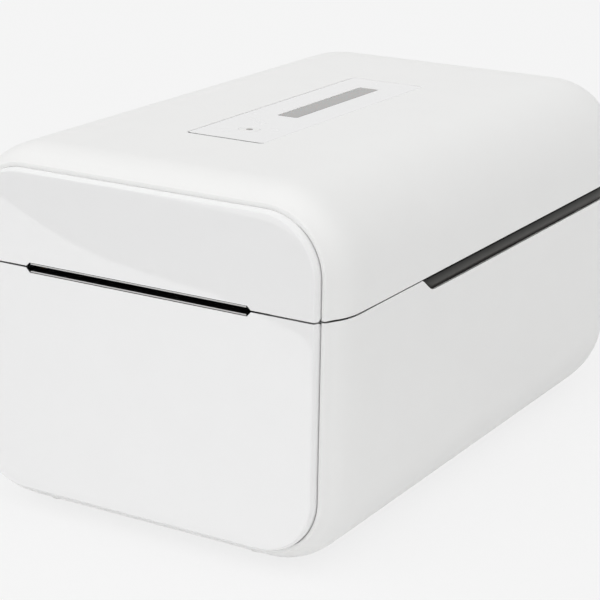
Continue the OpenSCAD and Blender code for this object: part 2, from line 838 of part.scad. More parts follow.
// Dark inner cover of the lid: an upturned tray with a rim that meets the lid's walls
module lid_liner() {
    mid_y = (liner_front_y + liner_rear_y) / 2;
    len_y = liner_rear_y - liner_front_y;
    color(dark) difference() {
        union() {
            intersection() {
                upper_body(wall + run_gap);
                box([-big, liner_front_y, liner_flange_z], [big, big, liner_flange_z + liner_flange_t]);
            }
            translate([0, mid_y, liner_flange_z]) linear_extrude(height = liner_top_z - liner_flange_z)
                polygon(rounded(liner_w, len_y, 22));
        }
        translate([0, mid_y, liner_flange_z - eps])
            linear_extrude(height = liner_top_z - liner_flange_z - liner_t + eps)
            polygon(rounded(liner_w - 2 * liner_t, len_y - 2 * liner_t, 20));
        box([-label_path_w / 2, liner_front_y - eps, liner_flange_z - eps],
            [label_path_w / 2, liner_front_y + 3 * liner_t, liner_flange_z + label_path_h]);
        both_sides() for (y = liner_boss_y) {
            rod_z(screw_d, liner_flange_z - eps, liner_flange_z + 5, side_boss_x, y);
            rod_z(screw_head_d + head_clear, liner_flange_z - eps, liner_flange_z + screw_head_h,
                side_boss_x, y);
        }
    }
}

module deck_screw_holes() {
    both_sides() for (y = deck_boss_y) {
        rod_z(screw_d, deck_boss_z - eps, split_z, side_boss_x, y);
        rod_z(screw_head_d + head_clear, deck_top_z - screw_head_h, split_z, side_boss_x, y);
    }
}

// Dark frame that caps the base: the visible grip band, the deck around the bay and the hinge knuckles
module deck_frame() {
    hinge_x0 = hinge_span / 2 - hinge_half - run_gap;
    hinge_x1 = hinge_span / 2 + hinge_half + run_gap;
    color(dark) difference() {
        union() {
            intersection() {
                lower_body(band_inset);
                difference() {
                    band_cut(band_gap);
                    above(deck_top_z);
                }
            }
            intersection() {
                lower_body(frame_inset);
                box([-big, bay_front_y - liner_t, deck_skirt_z], [big, big, deck_top_z]);
            }
        }
        intersection() {
            lower_body(frame_inset + liner_t);
            box([-big, -big, -big], [big, big, deck_z]);
        }
        box([-big, -big, -big], [big, bay_front_y - liner_t, big]);
        box([-bay_w / 2, bay_front_y, deck_z - eps], [bay_w / 2, bay_rear_y, split_z]);
        both_sides() {
            box([hinge_x0, hinge_y - knuckle_d / 2 - run_gap, band_z], [hinge_x1, big, split_z]);
            for (y = deck_boss_y)
                box([side_boss_x - side_boss_d / 2 - run_gap, y - side_boss_d / 2 - run_gap, -big],
                    [body_w, y + side_boss_d / 2 + run_gap, deck_boss_z]);
        }
        deck_screw_holes();
    }
    color(dark) difference() {
        both_sides() for (y = deck_boss_y) rod_z(side_boss_d, deck_boss_z, deck_z + 0.5, side_boss_x, y);
        deck_screw_holes();
    }
    color(dark) for (side = [-0.5, 0.5], end = [0, 1]) translate([side * hinge_span, 0, 0])
        mirror([end, 0, 0]) {
        x0 = knuckle_w / 2 + knuckle_gap;
        difference() {
            union() {
                rod_x(knuckle_d, x0, x0 + base_knuckle_w, hinge_y, hinge_z);
                box([x0, hinge_y - knuckle_d / 2 - 2, hinge_z - 1.4],
                    [x0 + base_knuckle_w, hinge_y - 1.8, hinge_z + 1.4]);
            }
            rod_x(hinge_pin_d, x0 - eps, x0 + base_knuckle_w + eps, hinge_y, hinge_z);
        }
    }
}

module hinge_pins() {
    color(steel) for (side = [-0.5, 0.5])
        rod_x(hinge_pin_d, side * hinge_span - hinge_half, side * hinge_span + hinge_half, hinge_y,
            hinge_z);
}

module rubber_feet() {
    color(black) for (y = [-0.5, 0.5], x = [-0.5, 0.5])
        rod_z(foot_d - 0.4, 0, base_z + foot_recess, x * foot_span_x, y * foot_span_y);
}

// ---------------------------------------------------------------- roll bay and guides

// Upright outline of the bay across the printer, with chamfers that clear the casing's round edges
module bay_outline(t, top) {
    w = bay_w / 2 + t;
    z = bay_floor_z - t;
    k = t * (sqrt(2) - 1);
    polygon([[-w, top], [-w, z + bay_chamfer + k], [-w + bay_chamfer + k, z], [w - bay_chamfer - k, z],
        [w, z + bay_chamfer + k], [w, top]]);
}

module roll_bay() {
    color(dark) difference() {
        along_y(bay_front_y - liner_t, bay_rear_y + liner_t) bay_outline(liner_t, deck_z);
        along_y(bay_front_y, bay_rear_y) bay_outline(0, split_z);
        for (side = [-0.5, 0.5])
            rod_x(rail_d, -body_w / 2, body_w / 2, bay_mid_y + side * rail_span, rail_z);
    }
    color(dark) rod_z(5, bay_floor_z - 0.5, rack_z + rack_t + 0.5, 0, bay_mid_y);
}

module guide_rails() {
    color(steel) for (side = [-0.5, 0.5])
        rod_x(rail_d, -bay_w / 2 - liner_t + 0.5, bay_w / 2 + liner_t - 0.5, bay_mid_y + side * rail_span,
            rail_z);
}

module guide_pinion() {
    color("#d9d9d6") translate([0, bay_mid_y, rack_z]) difference() {
        linear_extrude(height = rack_t) gear_outline(pinion_teeth, rack_m, 90);
        translate([0, 0, -eps]) cylinder(d = 5 + 2 * shaft_fit, h = rack_t + 2 * eps, $fn = 48);
    }
}

// Toothed bar that runs from under the guide's foot past the pinion, teeth towards -Y
module rack() {
    first = -2;
    count = floor((guide_travel + 6) / rack_pitch) + 3;
    root = pinion_pitch_r + 1.2 * rack_m;
    end = guide_open / 2 + foot_w - 4;
    teeth = [for (i = [first:first + count - 1],
        p = [[-0.29, 0], [-0.2, 1.2], [-0.1, 2.1], [0.1, 2.1], [0.2, 1.2], [0.29, 0]])
        [(i + 0.5 + p[0]) * rack_pitch, root - p[1] * rack_m]];
    linear_extrude(height = rack_t) polygon(concat([[first * rack_pitch, root]], teeth,
        [[end, root], [end, root + rack_w], [first * rack_pitch, root + rack_w]]));
}

// Right-hand roll guide: an upright plate with a hub, on a foot that slides on the two rails
module guide() {
    x = guide_open / 2;
    plate_low = 30;
    plate_high = 16;
    difference() {
        union() {
            translate([x + guide_t / 2, bay_mid_y, 0]) along_x(guide_t) polygon(concat(
                [[-plate_low, foot_z], [plate_low, foot_z]],
                [for (i = [0:16]) let (a = 180 * i / 16)
                    [plate_high * cos(a), hub_z + plate_high * sin(a)]]));
            box([x, bay_mid_y - foot_len / 2, foot_z],
                [x + foot_w, bay_mid_y + foot_len / 2, foot_z + foot_block_h]);
            rod_x(hub_d, x - hub_len, x + 0.5, bay_mid_y, hub_z);
            translate([0, bay_mid_y, rack_z]) rack();
            box([x, bay_mid_y + pinion_pitch_r + 1.2 * rack_m, rack_z + rack_t - 0.5],
                [x + foot_w - 4, bay_mid_y + pinion_pitch_r + 1.2 * rack_m + rack_w, foot_z + 0.5]);
        }
        for (side = [-0.5, 0.5])
            rod_x(rail_d + 2 * shaft_fit, x - eps, x + foot_w + eps, bay_mid_y + side * rail_span, rail_z);
        rod_x(hub_d - 6, x - hub_len - eps, x + guide_t + eps, bay_mid_y, hub_z);
    }
}

module guide_right() { color("#3a3a3a") guide(); }
module guide_left() { color("#3a3a3a") translate([0, 2 * bay_mid_y, 0]) rotate([0, 0, 180]) guide(); }

// ---------------------------------------------------------------- print mechanism in the base

module mechanism_frame() {
    color(steel) difference() {
        union() {
            both_sides() box([plate_x, mech_front_y, mech_floor_z], [plate_out_x, mech_rear_y, mech_top_z]);
            box([-plate_out_x, mech_front_y, mech_floor_z],
                [plate_out_x, mech_rear_y, mech_floor_z + plate_t]);
        }
        rod_x(shaft_d + 2 * bush_wall, -body_w, body_w, platen_y, platen_z);
        rod_x(latch_shaft_d + 2 * shaft_fit, -body_w, body_w, latch_y, latch_z);
        rod_x(idler_pin_d, 0, body_w, idler_y, idler_z);
        rod_x(motor_boss_d + 1, 0, body_w, motor_y, motor_z);
        motor_screw_holes(screw_d);
        both_sides() for (y = mech_post_y)
            rod_z(screw_d, mech_floor_z - eps, mech_floor_z + 5, mech_post_x, y);
    }
}

module motor_screw_holes(d) {
    for (side = [-1, 1]) rod_x(d, plate_x - 2 * motor_flange_t, plate_out_x + eps,
        motor_y + side * motor_ear_r * cos(motor_ear_turn),
        motor_z + side * motor_ear_r * sin(motor_ear_turn));
}

module platen_bushes() {
    color("#caa35a") both_sides() difference() {
        union() {
            rod_x(shaft_d + 2 * bush_wall, plate_x, plate_out_x, platen_y, platen_z);
            rod_x(shaft_d + 2 * (bush_wall + bush_flange), plate_x - 1, plate_x, platen_y, platen_z);
        }
        rod_x(shaft_d + 2 * shaft_fit, 0, body_w, platen_y, platen_z);
    }
}

module platen_shaft() {
    color(steel) rod_x(shaft_d, -plate_out_x - 2, gear_x + small_gear_t, platen_y, platen_z);
}

module platen_sleeve() {
    color(black) difference() {
        rod_x(2 * platen_r, -platen_len / 2, platen_len / 2, platen_y, platen_z);
        rod_x(shaft_d, -body_w, body_w, platen_y, platen_z);
    }
}

module platen_gear() {
    color("#e6e3da") difference() {
        gear_x_axis(platen_teeth, idler_tilt + 180 + 180 / platen_teeth, gear_x, small_gear_t, platen_y,
            platen_z);
        rod_x(shaft_d, 0, body_w, platen_y, platen_z);
    }
}

module idler_gear() {
    color("#e6e3da") difference() {
        union() {
            gear_x_axis(idler_large, motor_tilt, large_gear_x, large_gear_t, idler_y, idler_z);
            gear_x_axis(idler_small, idler_tilt + 180, gear_x, small_gear_t + 1, idler_y, idler_z);
        }
        rod_x(idler_pin_d + 2 * shaft_fit, 0, body_w, idler_y, idler_z);
    }
}

module idler_axle() {
    end_x = large_gear_x + large_gear_t;
    color(steel) {
        rod_x(idler_pin_d, plate_x - 1, end_x + 1, idler_y, idler_z);
        rod_x(idler_pin_d + 2, end_x + run_gap, end_x + 1, idler_y, idler_z);
        rod_x(idler_pin_d + 3, plate_out_x, gear_x - run_gap, idler_y, idler_z);
    }
}

module motor_pinion() {
    color("#c9a24d") {
        gear_x_axis(motor_teeth, motor_tilt + 180 + 180 / motor_teeth, large_gear_x - 1, large_gear_t + 1,
            motor_y, motor_z);
        rod_x(motor_shaft_d, plate_x - 8, large_gear_x, motor_y, motor_z);
    }
}

module feed_motor() {
    color(steel) difference() {
        union() {
            rod_x(motor_d, plate_x - motor_flange_t - motor_len, plate_x, motor_y, motor_z);
            translate([plate_x - motor_flange_t, motor_y, motor_z]) rotate([motor_ear_turn, 0, 0])
                box([0, -motor_ear_r - motor_ear_w / 2, -motor_ear_w / 2],
                    [motor_flange_t, motor_ear_r + motor_ear_w / 2, motor_ear_w / 2]);
            rod_x(motor_boss_d, plate_x - 0.5, plate_out_x, motor_y, motor_z);
        }
        rod_x(motor_shaft_d + 2 * shaft_fit, plate_x - 10, body_w, motor_y, motor_z);
        motor_screw_holes(screw_d * 0.8);
    }
}

module paper_guide() {
    y0 = platen_y + platen_r + 1.6;
    y1 = mech_rear_y + 0.5;
    z0 = mech_top_z - plate_t;
    color(steel) difference() {
        union() {
            box([-plate_x, y0, z0], [plate_x, y1, mech_top_z]);
            box([-plate_x, y1 - plate_t, z0 - 6], [plate_x, y1, mech_top_z]);
        }
        box([-6, y0 + 9, z0 - eps], [6, y0 + 15, mech_top_z + eps]);
    }
}

module gap_sensor() {
    y0 = platen_y + platen_r + 8;
    z1 = mech_top_z - plate_t;
    color(black) box([-12, y0, z1 - 8], [12, y0 + 10, z1]);
}

// Latch shaft with one hook at each end, tipped back from the catch pins by the latch's swing
module latch_bar() {
    nose_z = catch_z + catch_d / 2 + run_gap - latch_z;
    face_y = catch_y + catch_d / 2 + run_gap - latch_y;
    color(steel) {
        rod_x(latch_shaft_d, -hook_x - hook_t, hook_x + hook_t, latch_y, latch_z);
        both_sides() translate([hook_x + hook_t / 2, latch_y, latch_z]) rotate([-latch_swing, 0, 0])
            along_x(hook_t) polygon([[hook_half, -hook_foot], [hook_half, nose_z + nose_t],
                [face_y - nose_reach, nose_z + nose_t], [face_y - nose_reach, nose_z], [face_y, nose_z],
                [face_y, hook_bend], [-hook_half, hook_half / 2], [-hook_half, -hook_foot]]);
    }
}

module latch_springs() {
    coil_r = latch_shaft_d / 2 + 1;
    turns = 4;
    wire_d = 0.7;
    color(steel) for (side = [-1, 1]) {
        coil = [for (i = [0:12 * turns]) let (a = 30 * i)
            [side * (plate_x - 6 - i / 12), latch_y + coil_r * cos(a), latch_z + coil_r * sin(a)]];
        wire(coil, wire_d / 2, [side, 0, 0]);
    }
}

// ---------------------------------------------------------------- electronics in the base

module main_board() {
    color(green) difference() {
        box([-board_w / 2, board_front_y, board_z], [board_w / 2, board_rear_y, board_z + board_t]);
        both_sides() for (y = board_post_y)
            rod_z(screw_d, board_z - eps, board_z + board_t + eps, board_post_x, y);
    }
}

module board_parts() {
    z = board_z + board_t;
    color(black) {
        for (n = [-4, -2.4]) rod_z(cap_d, z, z + cap_h, n * cap_d, cap_y);
        box([-chip_w / 2, chip_y, z], [chip_w / 2, chip_y + chip_w, z + chip_t]);
        box([header_d * 2, header_y, z], [header_d * 2 + header_w, header_y + header_d, z + header_h]);
        box([relay_w, relay_y, z], [2 * relay_w, relay_y + relay_w, z + relay_h]);
    }
}

module power_jack() {
    color(black) difference() {
        union() {
            box([jack_x - jack_w / 2, rear_y - wall - jack_len, board_z + board_t],
                [jack_x + jack_w / 2, rear_y - wall - 0.2, port_z + jack_w / 2 + 0.5]);
            rod_y(jack_d, rear_y - wall - 1, rear_y - 0.4, jack_x, port_z);
        }
        difference() {
            rod_y(plug_d, rear_y - jack_len + 2, rear_y + eps, jack_x, port_z);
            rod_y(plug_pin_d, rear_y - jack_len + 1, rear_y - 1.5, jack_x, port_z);
        }
    }
}

module data_port() {
    color("#b9bcbe") difference() {
        box([data_x - port_w / 2, rear_y - port_len, port_z - port_h / 2],
            [data_x + port_w / 2, rear_y - 0.5, port_z + port_h / 2]);
        for (side = [0, 1]) translate([data_x, 0, port_z]) mirror([0, 0, side])
            box([port_wall - port_w / 2, rear_y - 7, 0.35],
                [port_w / 2 - port_wall, rear_y + eps, port_h / 2 - port_wall]);
    }
    color("#b9bcbe") box([data_x - port_w / 2 - 0.5, rear_y - port_len, board_z + board_t],
        [data_x + port_w / 2 + 0.5, rear_y - port_len / 2, port_z - port_h / 2]);
}

module switch_housing() {
    y1 = rear_y - well_depth;
    color(black) difference() {
        union() {
            box([rocker_x - housing_w / 2, y1 - housing_len, rocker_z - housing_h / 2],
                [rocker_x + housing_w / 2, y1, rocker_z + housing_h / 2]);
            box([rocker_x - housing_w / 2 - bezel, y1, rocker_z - housing_h / 2 - bezel],
                [rocker_x + housing_w / 2 + bezel, y1 + bezel_t, rocker_z + housing_h / 2 + bezel]);
        }
        box([rocker_x - housing_w / 2 + housing_wall, rocker_pivot_y - 4,
            rocker_z - housing_h / 2 + housing_wall],
            [rocker_x + housing_w / 2 - housing_wall, rear_y, rocker_z + housing_h / 2 - housing_wall]);
    }
}

module power_rocker() {
    color(black) {
        translate([rocker_x, rocker_pivot_y, rocker_z]) rotate([-rocker_tilt, 0, 0])
            along_x(rocker_w) polygon([[-2, -3], [-2, 3], [1.5, rocker_half], [4.2, rocker_half], [3, 0],
                [4.2, -rocker_half], [1.5, -rocker_half]]);
        rod_x(2, rocker_x - housing_w / 2 + housing_wall, rocker_x + housing_w / 2 - housing_wall,
            rocker_pivot_y, rocker_z);
    }
}

// ---------------------------------------------------------------- lid mechanism

module head_carrier() {
    color(steel) difference() {
        union() {
            box([-cheek_x - plate_t, carrier_front_y, carrier_z],
                [cheek_x + plate_t, carrier_rear_y, carrier_z + plate_t]);
            both_sides() box([cheek_x, head_pivot_y - cheek_len, catch_z - catch_d / 2 - cheek_foot],
                [cheek_x + plate_t, carrier_rear_y, carrier_z + plate_t]);
        }
        rod_x(head_pin_d + 2 * shaft_fit, -body_w, body_w, head_pivot_y, head_pivot_z);
        rod_x(catch_d - 1, -body_w, body_w, catch_y, catch_z);
        both_sides() for (y = carrier_post_y)
            rod_z(screw_d, carrier_z - eps, carrier_z + 5, mech_post_x, y);
    }
}

module latch_pins() {
    color(steel) both_sides() {
        rod_x(catch_d, hook_x - 0.5, cheek_x, catch_y, catch_z);
        rod_x(catch_d - 1, cheek_x - skim, cheek_x + plate_t, catch_y, catch_z);
    }
}

module head_ceramic() {
    color("#dfe2e0") difference() {
        box([-head_x + 1, head_y + 1, head_z], [head_x - 1, head_y + 16, head_z + ceramic_t]);
        box([-big, head_y - eps, head_z - eps], [big, head_y + 3, head_z + 0.3]);
    }
}

module head_sink() {
    z0 = head_z + ceramic_t;
    color("#b4b7b9") {
        box([-head_x, head_y, z0], [head_x, head_rear_y, z0 + sink_t]);
        box([-head_x, head_pivot_y - pivot_tail, z0], [head_x, head_rear_y, head_pivot_z + pivot_tail]);
        both_sides() rod_x(head_pin_d, head_x - 0.5, cheek_x + plate_t, head_pivot_y, head_pivot_z);
    }
}

module head_driver_cover() {
    color(black) box([-head_x + 3, head_y + 18, head_z - 1.2],
        [head_x - 3, head_y + 27, head_z + ceramic_t]);
}

module head_springs() {
    coil_r = 3;
    wire_d = 0.8;
    turns = 5;
    z0 = head_z + ceramic_t + sink_t + wire_d / 2;
    rise = carrier_z - wire_d / 2 - z0;
    color(steel) for (x = [-head_spring_x, head_spring_x]) {
        coil = [for (i = [0:12 * turns]) let (a = 30 * i)
            [x + coil_r * cos(a), head_y + 7 + coil_r * sin(a), z0 + rise * i / (12 * turns)]];
        wire(coil, wire_d / 2, [0, 0, 1]);
    }
}

// ---------------------------------------------------------------- screws

module base_screws() {
    color(steel) {
        both_sides() {
            for (y = mech_post_y) screw_down(mech_post_x, y, mech_floor_z + plate_t, 9);
            for (y = board_post_y) screw_down(board_post_x, y, board_z + board_t, 8);
            for (y = deck_boss_y)
                screw_down(side_boss_x, y, deck_top_z - screw_head_h,
                deck_top_z - screw_head_h - deck_boss_z + 7);
        }
        for (side = [-1, 1])
            translate([plate_out_x, motor_y + side * motor_ear_r * cos(motor_ear_turn),
                motor_z + side * motor_ear_r * sin(motor_ear_turn)]) rotate([0, 90, 0]) {
                cylinder(d = screw_head_d * 0.9, h = 0.9, $fn = 48);
                translate([0, 0, -plate_t - 1])
                    cylinder(d = screw_d * 0.8, h = plate_t + 1 + skim, $fn = 48);
            }
    }
}

module lid_screws() {
    color(steel) both_sides() {
        for (y = carrier_post_y) screw_up(mech_post_x, y, carrier_z, 9);
        for (y = liner_boss_y) screw_up(side_boss_x, y, liner_flange_z + screw_head_h, 8);
        for (y = control_post_y) {
            rod_z(control_head_d, control_z - control_head_h, control_z, control_post_x, y);
            rod_z(control_screw_d, control_z - skim, control_z + 5, control_post_x, y);
        }
    }
}

base_shell();
lower_front_panel();
deck_frame();
roll_bay();
lower_tear_bar();
mechanism_frame();
platen_bushes();
feed_motor();
idler_axle();
paper_guide();
gap_sensor();
latch_springs();
main_board();
board_parts();
power_jack();
data_port();
switch_housing();
rubber_feet();
base_screws();
hinge_pins();
guide_rails();
platen_shaft();
platen_sleeve();
platen_gear();
idler_gear();
motor_pinion();
latch_bar();
guide_left();
guide_right();
guide_pinion();
power_rocker();
lid_shell();
upper_front_panel();
control_strip();
status_window();
light_guide();
control_board();
lid_liner();
upper_tear_bar();
head_carrier();
latch_pins();
head_springs();
lid_screws();
head_sink();
head_ceramic();
head_driver_cover();
feed_button();
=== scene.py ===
import json
import math

import bmesh
import bpy
from mathutils import Matrix, Vector

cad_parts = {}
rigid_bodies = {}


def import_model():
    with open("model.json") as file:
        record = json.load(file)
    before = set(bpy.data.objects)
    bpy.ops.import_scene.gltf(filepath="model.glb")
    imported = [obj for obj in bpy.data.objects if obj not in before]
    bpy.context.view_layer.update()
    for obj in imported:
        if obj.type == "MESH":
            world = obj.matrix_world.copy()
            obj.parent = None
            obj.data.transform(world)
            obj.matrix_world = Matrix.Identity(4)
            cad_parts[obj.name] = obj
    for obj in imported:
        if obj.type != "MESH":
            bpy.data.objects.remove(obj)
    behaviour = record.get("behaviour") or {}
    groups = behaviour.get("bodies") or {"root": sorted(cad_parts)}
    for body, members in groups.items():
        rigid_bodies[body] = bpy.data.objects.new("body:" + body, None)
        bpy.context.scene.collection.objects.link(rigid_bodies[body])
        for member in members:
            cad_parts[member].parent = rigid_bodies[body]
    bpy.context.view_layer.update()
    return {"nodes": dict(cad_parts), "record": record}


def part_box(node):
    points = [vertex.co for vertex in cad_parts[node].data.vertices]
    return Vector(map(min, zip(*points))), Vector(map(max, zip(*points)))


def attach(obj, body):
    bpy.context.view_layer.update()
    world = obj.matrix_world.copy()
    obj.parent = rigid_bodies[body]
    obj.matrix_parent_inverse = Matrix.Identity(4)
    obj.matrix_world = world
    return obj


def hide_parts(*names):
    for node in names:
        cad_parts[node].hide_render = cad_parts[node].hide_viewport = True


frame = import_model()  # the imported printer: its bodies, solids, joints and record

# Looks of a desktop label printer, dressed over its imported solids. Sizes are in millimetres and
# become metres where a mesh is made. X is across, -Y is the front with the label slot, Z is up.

MM = 0.001
BODY_OF = {node: body for body, nodes in frame["record"]["behaviour"]["bodies"].items() for node in nodes}
SLOT_OF = {part["node"]: part["material_slot"] for part in frame["record"]["subparts"]}


def corners(node):
    """Lowest and highest corner of a solid, in millimetres"""
    return [Vector(corner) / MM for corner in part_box(node)]


# ---------------- sizes

BASE_LOW, BASE_HIGH = corners("base_shell")
PANEL_LOW, PANEL_HIGH = corners("upper_front_panel")
HALF_W, FRONT, REAR = BASE_HIGH.x, PANEL_LOW.y, BASE_HIGH.y
TOP = corners("lid_shell")[1].z
LID_GAP = 0.5
SPLIT = BASE_HIGH.z + LID_GAP / 2
WALL = 2.6
FRONT_WALL = 6.5
LID_CORNER = 33.5  # radius of the long top edges
BASE_CORNER = 31.7  # radius of the long bottom edges
FRONT_ROUND, FRONT_POWER = 22.7, 2.5
REAR_ROUND, REAR_DROP, REAR_POWER = 45, 31, 2.3
BAND_FRONT, BAND_SLANT, BAND_H = 73.0, 8.6, 6.5  # the grip band's cut, from the front and down
BAND_LINE, BAND_END, BAND_GROOVE = 0.95, 2.3, 2.4  # groove along the band's top and front end

PANEL_HALF = PANEL_HIGH.x
PANEL_EDGE = TOP - PANEL_HIGH.z  # from the top down to the panels
PANEL_FOOT = corners("lower_front_panel")[0].z - BASE_LOW.z - 0.8  # from the bottom up to them
PANEL_R = 24.8
PANEL_BACK = FRONT + 4.6
SEAM_SIDE, SEAM_TOP, SEAM_BREAK = 0.42, 0.03, 0.12  # gap round the panels and its broken edge
SHOULDER = 3
RIM_DEPTH, RIM_EDGE = 3.6, 1.95  # flat rim of the casing round the seam
RIM_FALL, RIM_REACH = 5.5 / 2.6, 2.4  # slope past the rim's outer edge
SLOT_HALF, SLOT_TIP, SLOT_UP, SLOT_DOWN = 54.1, 2.0, 1.9, 2.3
NOTCH_FLARE = 3.6  # how much wider the slot is at the panels' back
TEAR_HALF, TEAR_T, TEAR_GAP, TEAR_LEAF = 51.7, 0.8, 0.2, 8
LIP_LAND = 0.55  # bright ground face of a tear bar's lip
STAKE_X = 39.2

STRIP_LOW, STRIP_HIGH = corners("control_strip")
STRIP_R = 2
WINDOW_LOW, WINDOW_HIGH = corners("status_window")
BUTTON_LOW, BUTTON_HIGH = corners("feed_button")
SEAM, STRIP_LEFT_SEAM, STRIP_FRONT_SEAM = 0.15, 0.35, 1.0  # gap round the strip's openings, left, front
BUTTON_R, BUTTON_Y = 4.5, (BUTTON_LOW.y + BUTTON_HIGH.y) / 2

KNUCKLE_X, KNUCKLE_W, KNUCKLE_D, PIN_D = 48, 5.4, 5.6, 2.5
HINGE_Y, HINGE_Z = REAR - 3, SPLIT - 3.2
PORT_Z, JACK_X, JACK_R = 42.1, -42, 4.6
DATA_X, DATA_W, DATA_H = -16, 9.8, 4
SOCKET_DEPTH = 9
ROCKER_X, ROCKER_Z, ROCKER_W, ROCKER_H = 36, 63, 13.2, 19.4
WELL_W, WELL_H, WELL_DEPTH = 22, 28.2, 3
HOUSING_W, HOUSING_H, HOUSING_DEPTH = 30, 36, 5.6
FEET, FOOT_D, FOOT_SEAT = (48, (-102, 102)), 16, 1
RIB_X, RIB_T, RIB_FRONT, RIB_REAR, RIB_TOP = 50, 3, -84, 62, 8

# rows of screws: their distance across from the middle, then their places from front to rear
MECHANISM_ROW = (50, (-135, -94.5))
BOARD_ROW = (56, (76, 135))
DECK_ROW = (81.5, (-66, 90))
CARRIER_ROW = (50, (-130, -101))
LINER_ROW = (81.5, (-70, 80))
CONTROL_ROW, CONTROL_SCREWS = (11, (-74.8, 48)), (11, (-74.4, 47.6))
MECHANISM_Z, BOARD_Z, DECK_Z = 44, 36, 102  # tops of the posts and bosses in the base
CARRIER_Z, CONTROL_Z = TOP - 32.5, TOP - 8.4  # lower ends of the lid's posts
LINER_Z = SPLIT + 3.7  # lower ends of the lid's side bosses
MECHANISM_SEAT, BOARD_SEAT, DECK_SEAT = 45.5, 37.6, 107.4  # where the screw heads lie
CARRIER_SEAT, LINER_SEAT, CONTROL_SEAT = 124, 112, 151
BORE, POST_D, BOSS_D, BOSS_H, WEB_T = 3, 8, 7, 10, 3.5
CONTROL_BORE, CONTROL_POST_D = 2, 5
SPRING_ROW, SPRING_FOOT = (30, (-129,)), 116.5


def both_sides(row):
    """(x, y) of everything in a row, on the left and then on the right"""
    across, places = row
    return [(x, y) for x in (-across, across) for y in places]


# ---------------- finishes

def linear(*levels):
    """Linear colour from levels of 0 to 255, one for a grey and three for others"""
    tones = [v / 255 / 12.92 if v <= 10 else ((v / 255 + 0.055) / 1.055) ** 2.4 for v in levels]
    return tuple(tones * (3 // len(levels))) + (1,)


def tinted(colour, share):
    """A colour made paler or darker by a share"""
    return tuple(min(1, c * share) for c in colour[:3]) + (1,)


def feed(tree, node, inputs):
    """Gives a node's inputs the outputs or plain values that they take"""
    for socket, source in inputs.items():
        if isinstance(source, bpy.types.NodeSocket):
            tree.links.new(source, node.inputs[socket])
        else:
            node.inputs[socket].default_value = source


def add_node(tree, kind, inputs=None, **settings):
    """Adds a node with its settings and inputs"""
    node = tree.nodes.new(kind)
    for key, value in settings.items():
        setattr(node, key, value)
    feed(tree, node, inputs or {})
    return node


def joined(tree, kind, first, second):
    """Two values put together by one sum"""
    return add_node(tree, "ShaderNodeMath", {0: first, 1: second}, operation=kind).outputs[0]


def new_material(name):
    """A material with a plain shader, and its node tree"""
    material = bpy.data.materials.new(name)
    material.use_nodes = True
    return material, material.node_tree


FINISHES = {}  # the material of every finish by its name


class Finish:
    """One procedural material: a shader with tone, gloss and relief worked from Object coordinates"""

    def __init__(self, name, colour, rough, **sockets):
        FINISHES[name], self.tree = new_material(name)
        self.place = self.add("ShaderNodeTexCoord").outputs["Object"]
        self.relief = None
        self.shade(Base_Color=colour, Roughness=rough, **sockets)

    def add(self, kind, inputs=None, **settings):
        """Adds a node to the material"""
        return add_node(self.tree, kind, inputs, **settings)

    def shade(self, **sockets):
        """Sets or links the shader's inputs, with an underscore for each blank in their names"""
        shader = self.tree.nodes["Principled BSDF"]
        feed(self.tree, shader, {name.replace("_", " "): source for name, source in sockets.items()})

    def noise(self, size, detail=2.0, stretch=None):
        """Noise whose blobs are about size millimetres across, stretched by a scale along each axis"""
        place = self.place
        if stretch:
            place = self.add("ShaderNodeMapping", {"Scale": stretch, "Vector": place}).outputs["Vector"]
        inputs = {"Scale": 1 / (size * MM), "Detail": detail, "Vector": place}
        return self.add("ShaderNodeTexNoise", inputs).outputs["Fac"]

    def ramp(self, source, start=0.0, end=1.0, low=0.0, high=1.0):
        """Runs from low to high while the source runs from start to end"""
        inputs = {"From Min": start, "From Max": end, "To Min": low, "To Max": high, "Value": source}
        return self.add("ShaderNodeMapRange", inputs).outputs["Result"]

    def along(self, way, start, end, place=None):
        """Runs from 0 to 1 between two distances in millimetres along a direction"""
        dot = self.add("ShaderNodeVectorMath", {0: place or self.place, 1: way}, operation="DOT_PRODUCT")
        return self.ramp(dot.outputs["Value"], start * MM, end * MM)

    def tone(self, first, second, share):
        """Base colour that goes from one tone to another with the share"""
        mix = self.add("ShaderNodeMix", {"A": first, "B": second, "Factor": share}, data_type="RGBA")
        self.shade(Base_Color=mix.outputs["Result"])
        return mix.outputs["Result"]

    def mottle(self, colour, size, amount):
        """Tone that drifts by an amount either way over patches of that size"""
        return self.tone(tinted(colour, 1 - amount), tinted(colour, 1 + amount), self.noise(size, 3))

    def gloss(self, source, low, high):
        """Roughness that runs from low to high with the source"""
        self.shade(Roughness=self.ramp(source, low=low, high=high))

    def bump(self, source, height):
        """Relief of that height in millimetres, on top of the relief so far"""
        inputs = {"Distance": height * MM, "Strength": 1.0, "Height": source}
        if self.relief:
            inputs["Normal"] = self.relief
        self.relief = self.add("ShaderNodeBump", inputs).outputs["Normal"]
        self.shade(Normal=self.relief)


def moulded(name, colour, rough, grain=0.35, depth=0.006, drift=0.012, **sockets):
    """Injection-moulded plastic: spark-eroded grain, faint flow drift and uneven gloss"""
    f = Finish(name, colour, rough, **sockets)
    f.mottle(colour, 24, drift)
    f.gloss(f.noise(9, 2), rough * 0.9, rough * 1.12)
    f.bump(f.noise(70, 1), 0.02)
    f.bump(f.noise(grain, 1), depth)


def window_plastic(name, colour):
    """Tinted light-guide window: glossy skin over a cloudy body"""
    f = Finish(name, colour, 0.22, Coat_Weight=0.5, Coat_Roughness=0.12, Subsurface_Weight=0.15,
               Subsurface_Scale=0.002)
    f.mottle(colour, 18, 0.03)
    f.gloss(f.noise(5), 0.2, 0.28)
    f.bump(f.noise(30, 1), 0.01)


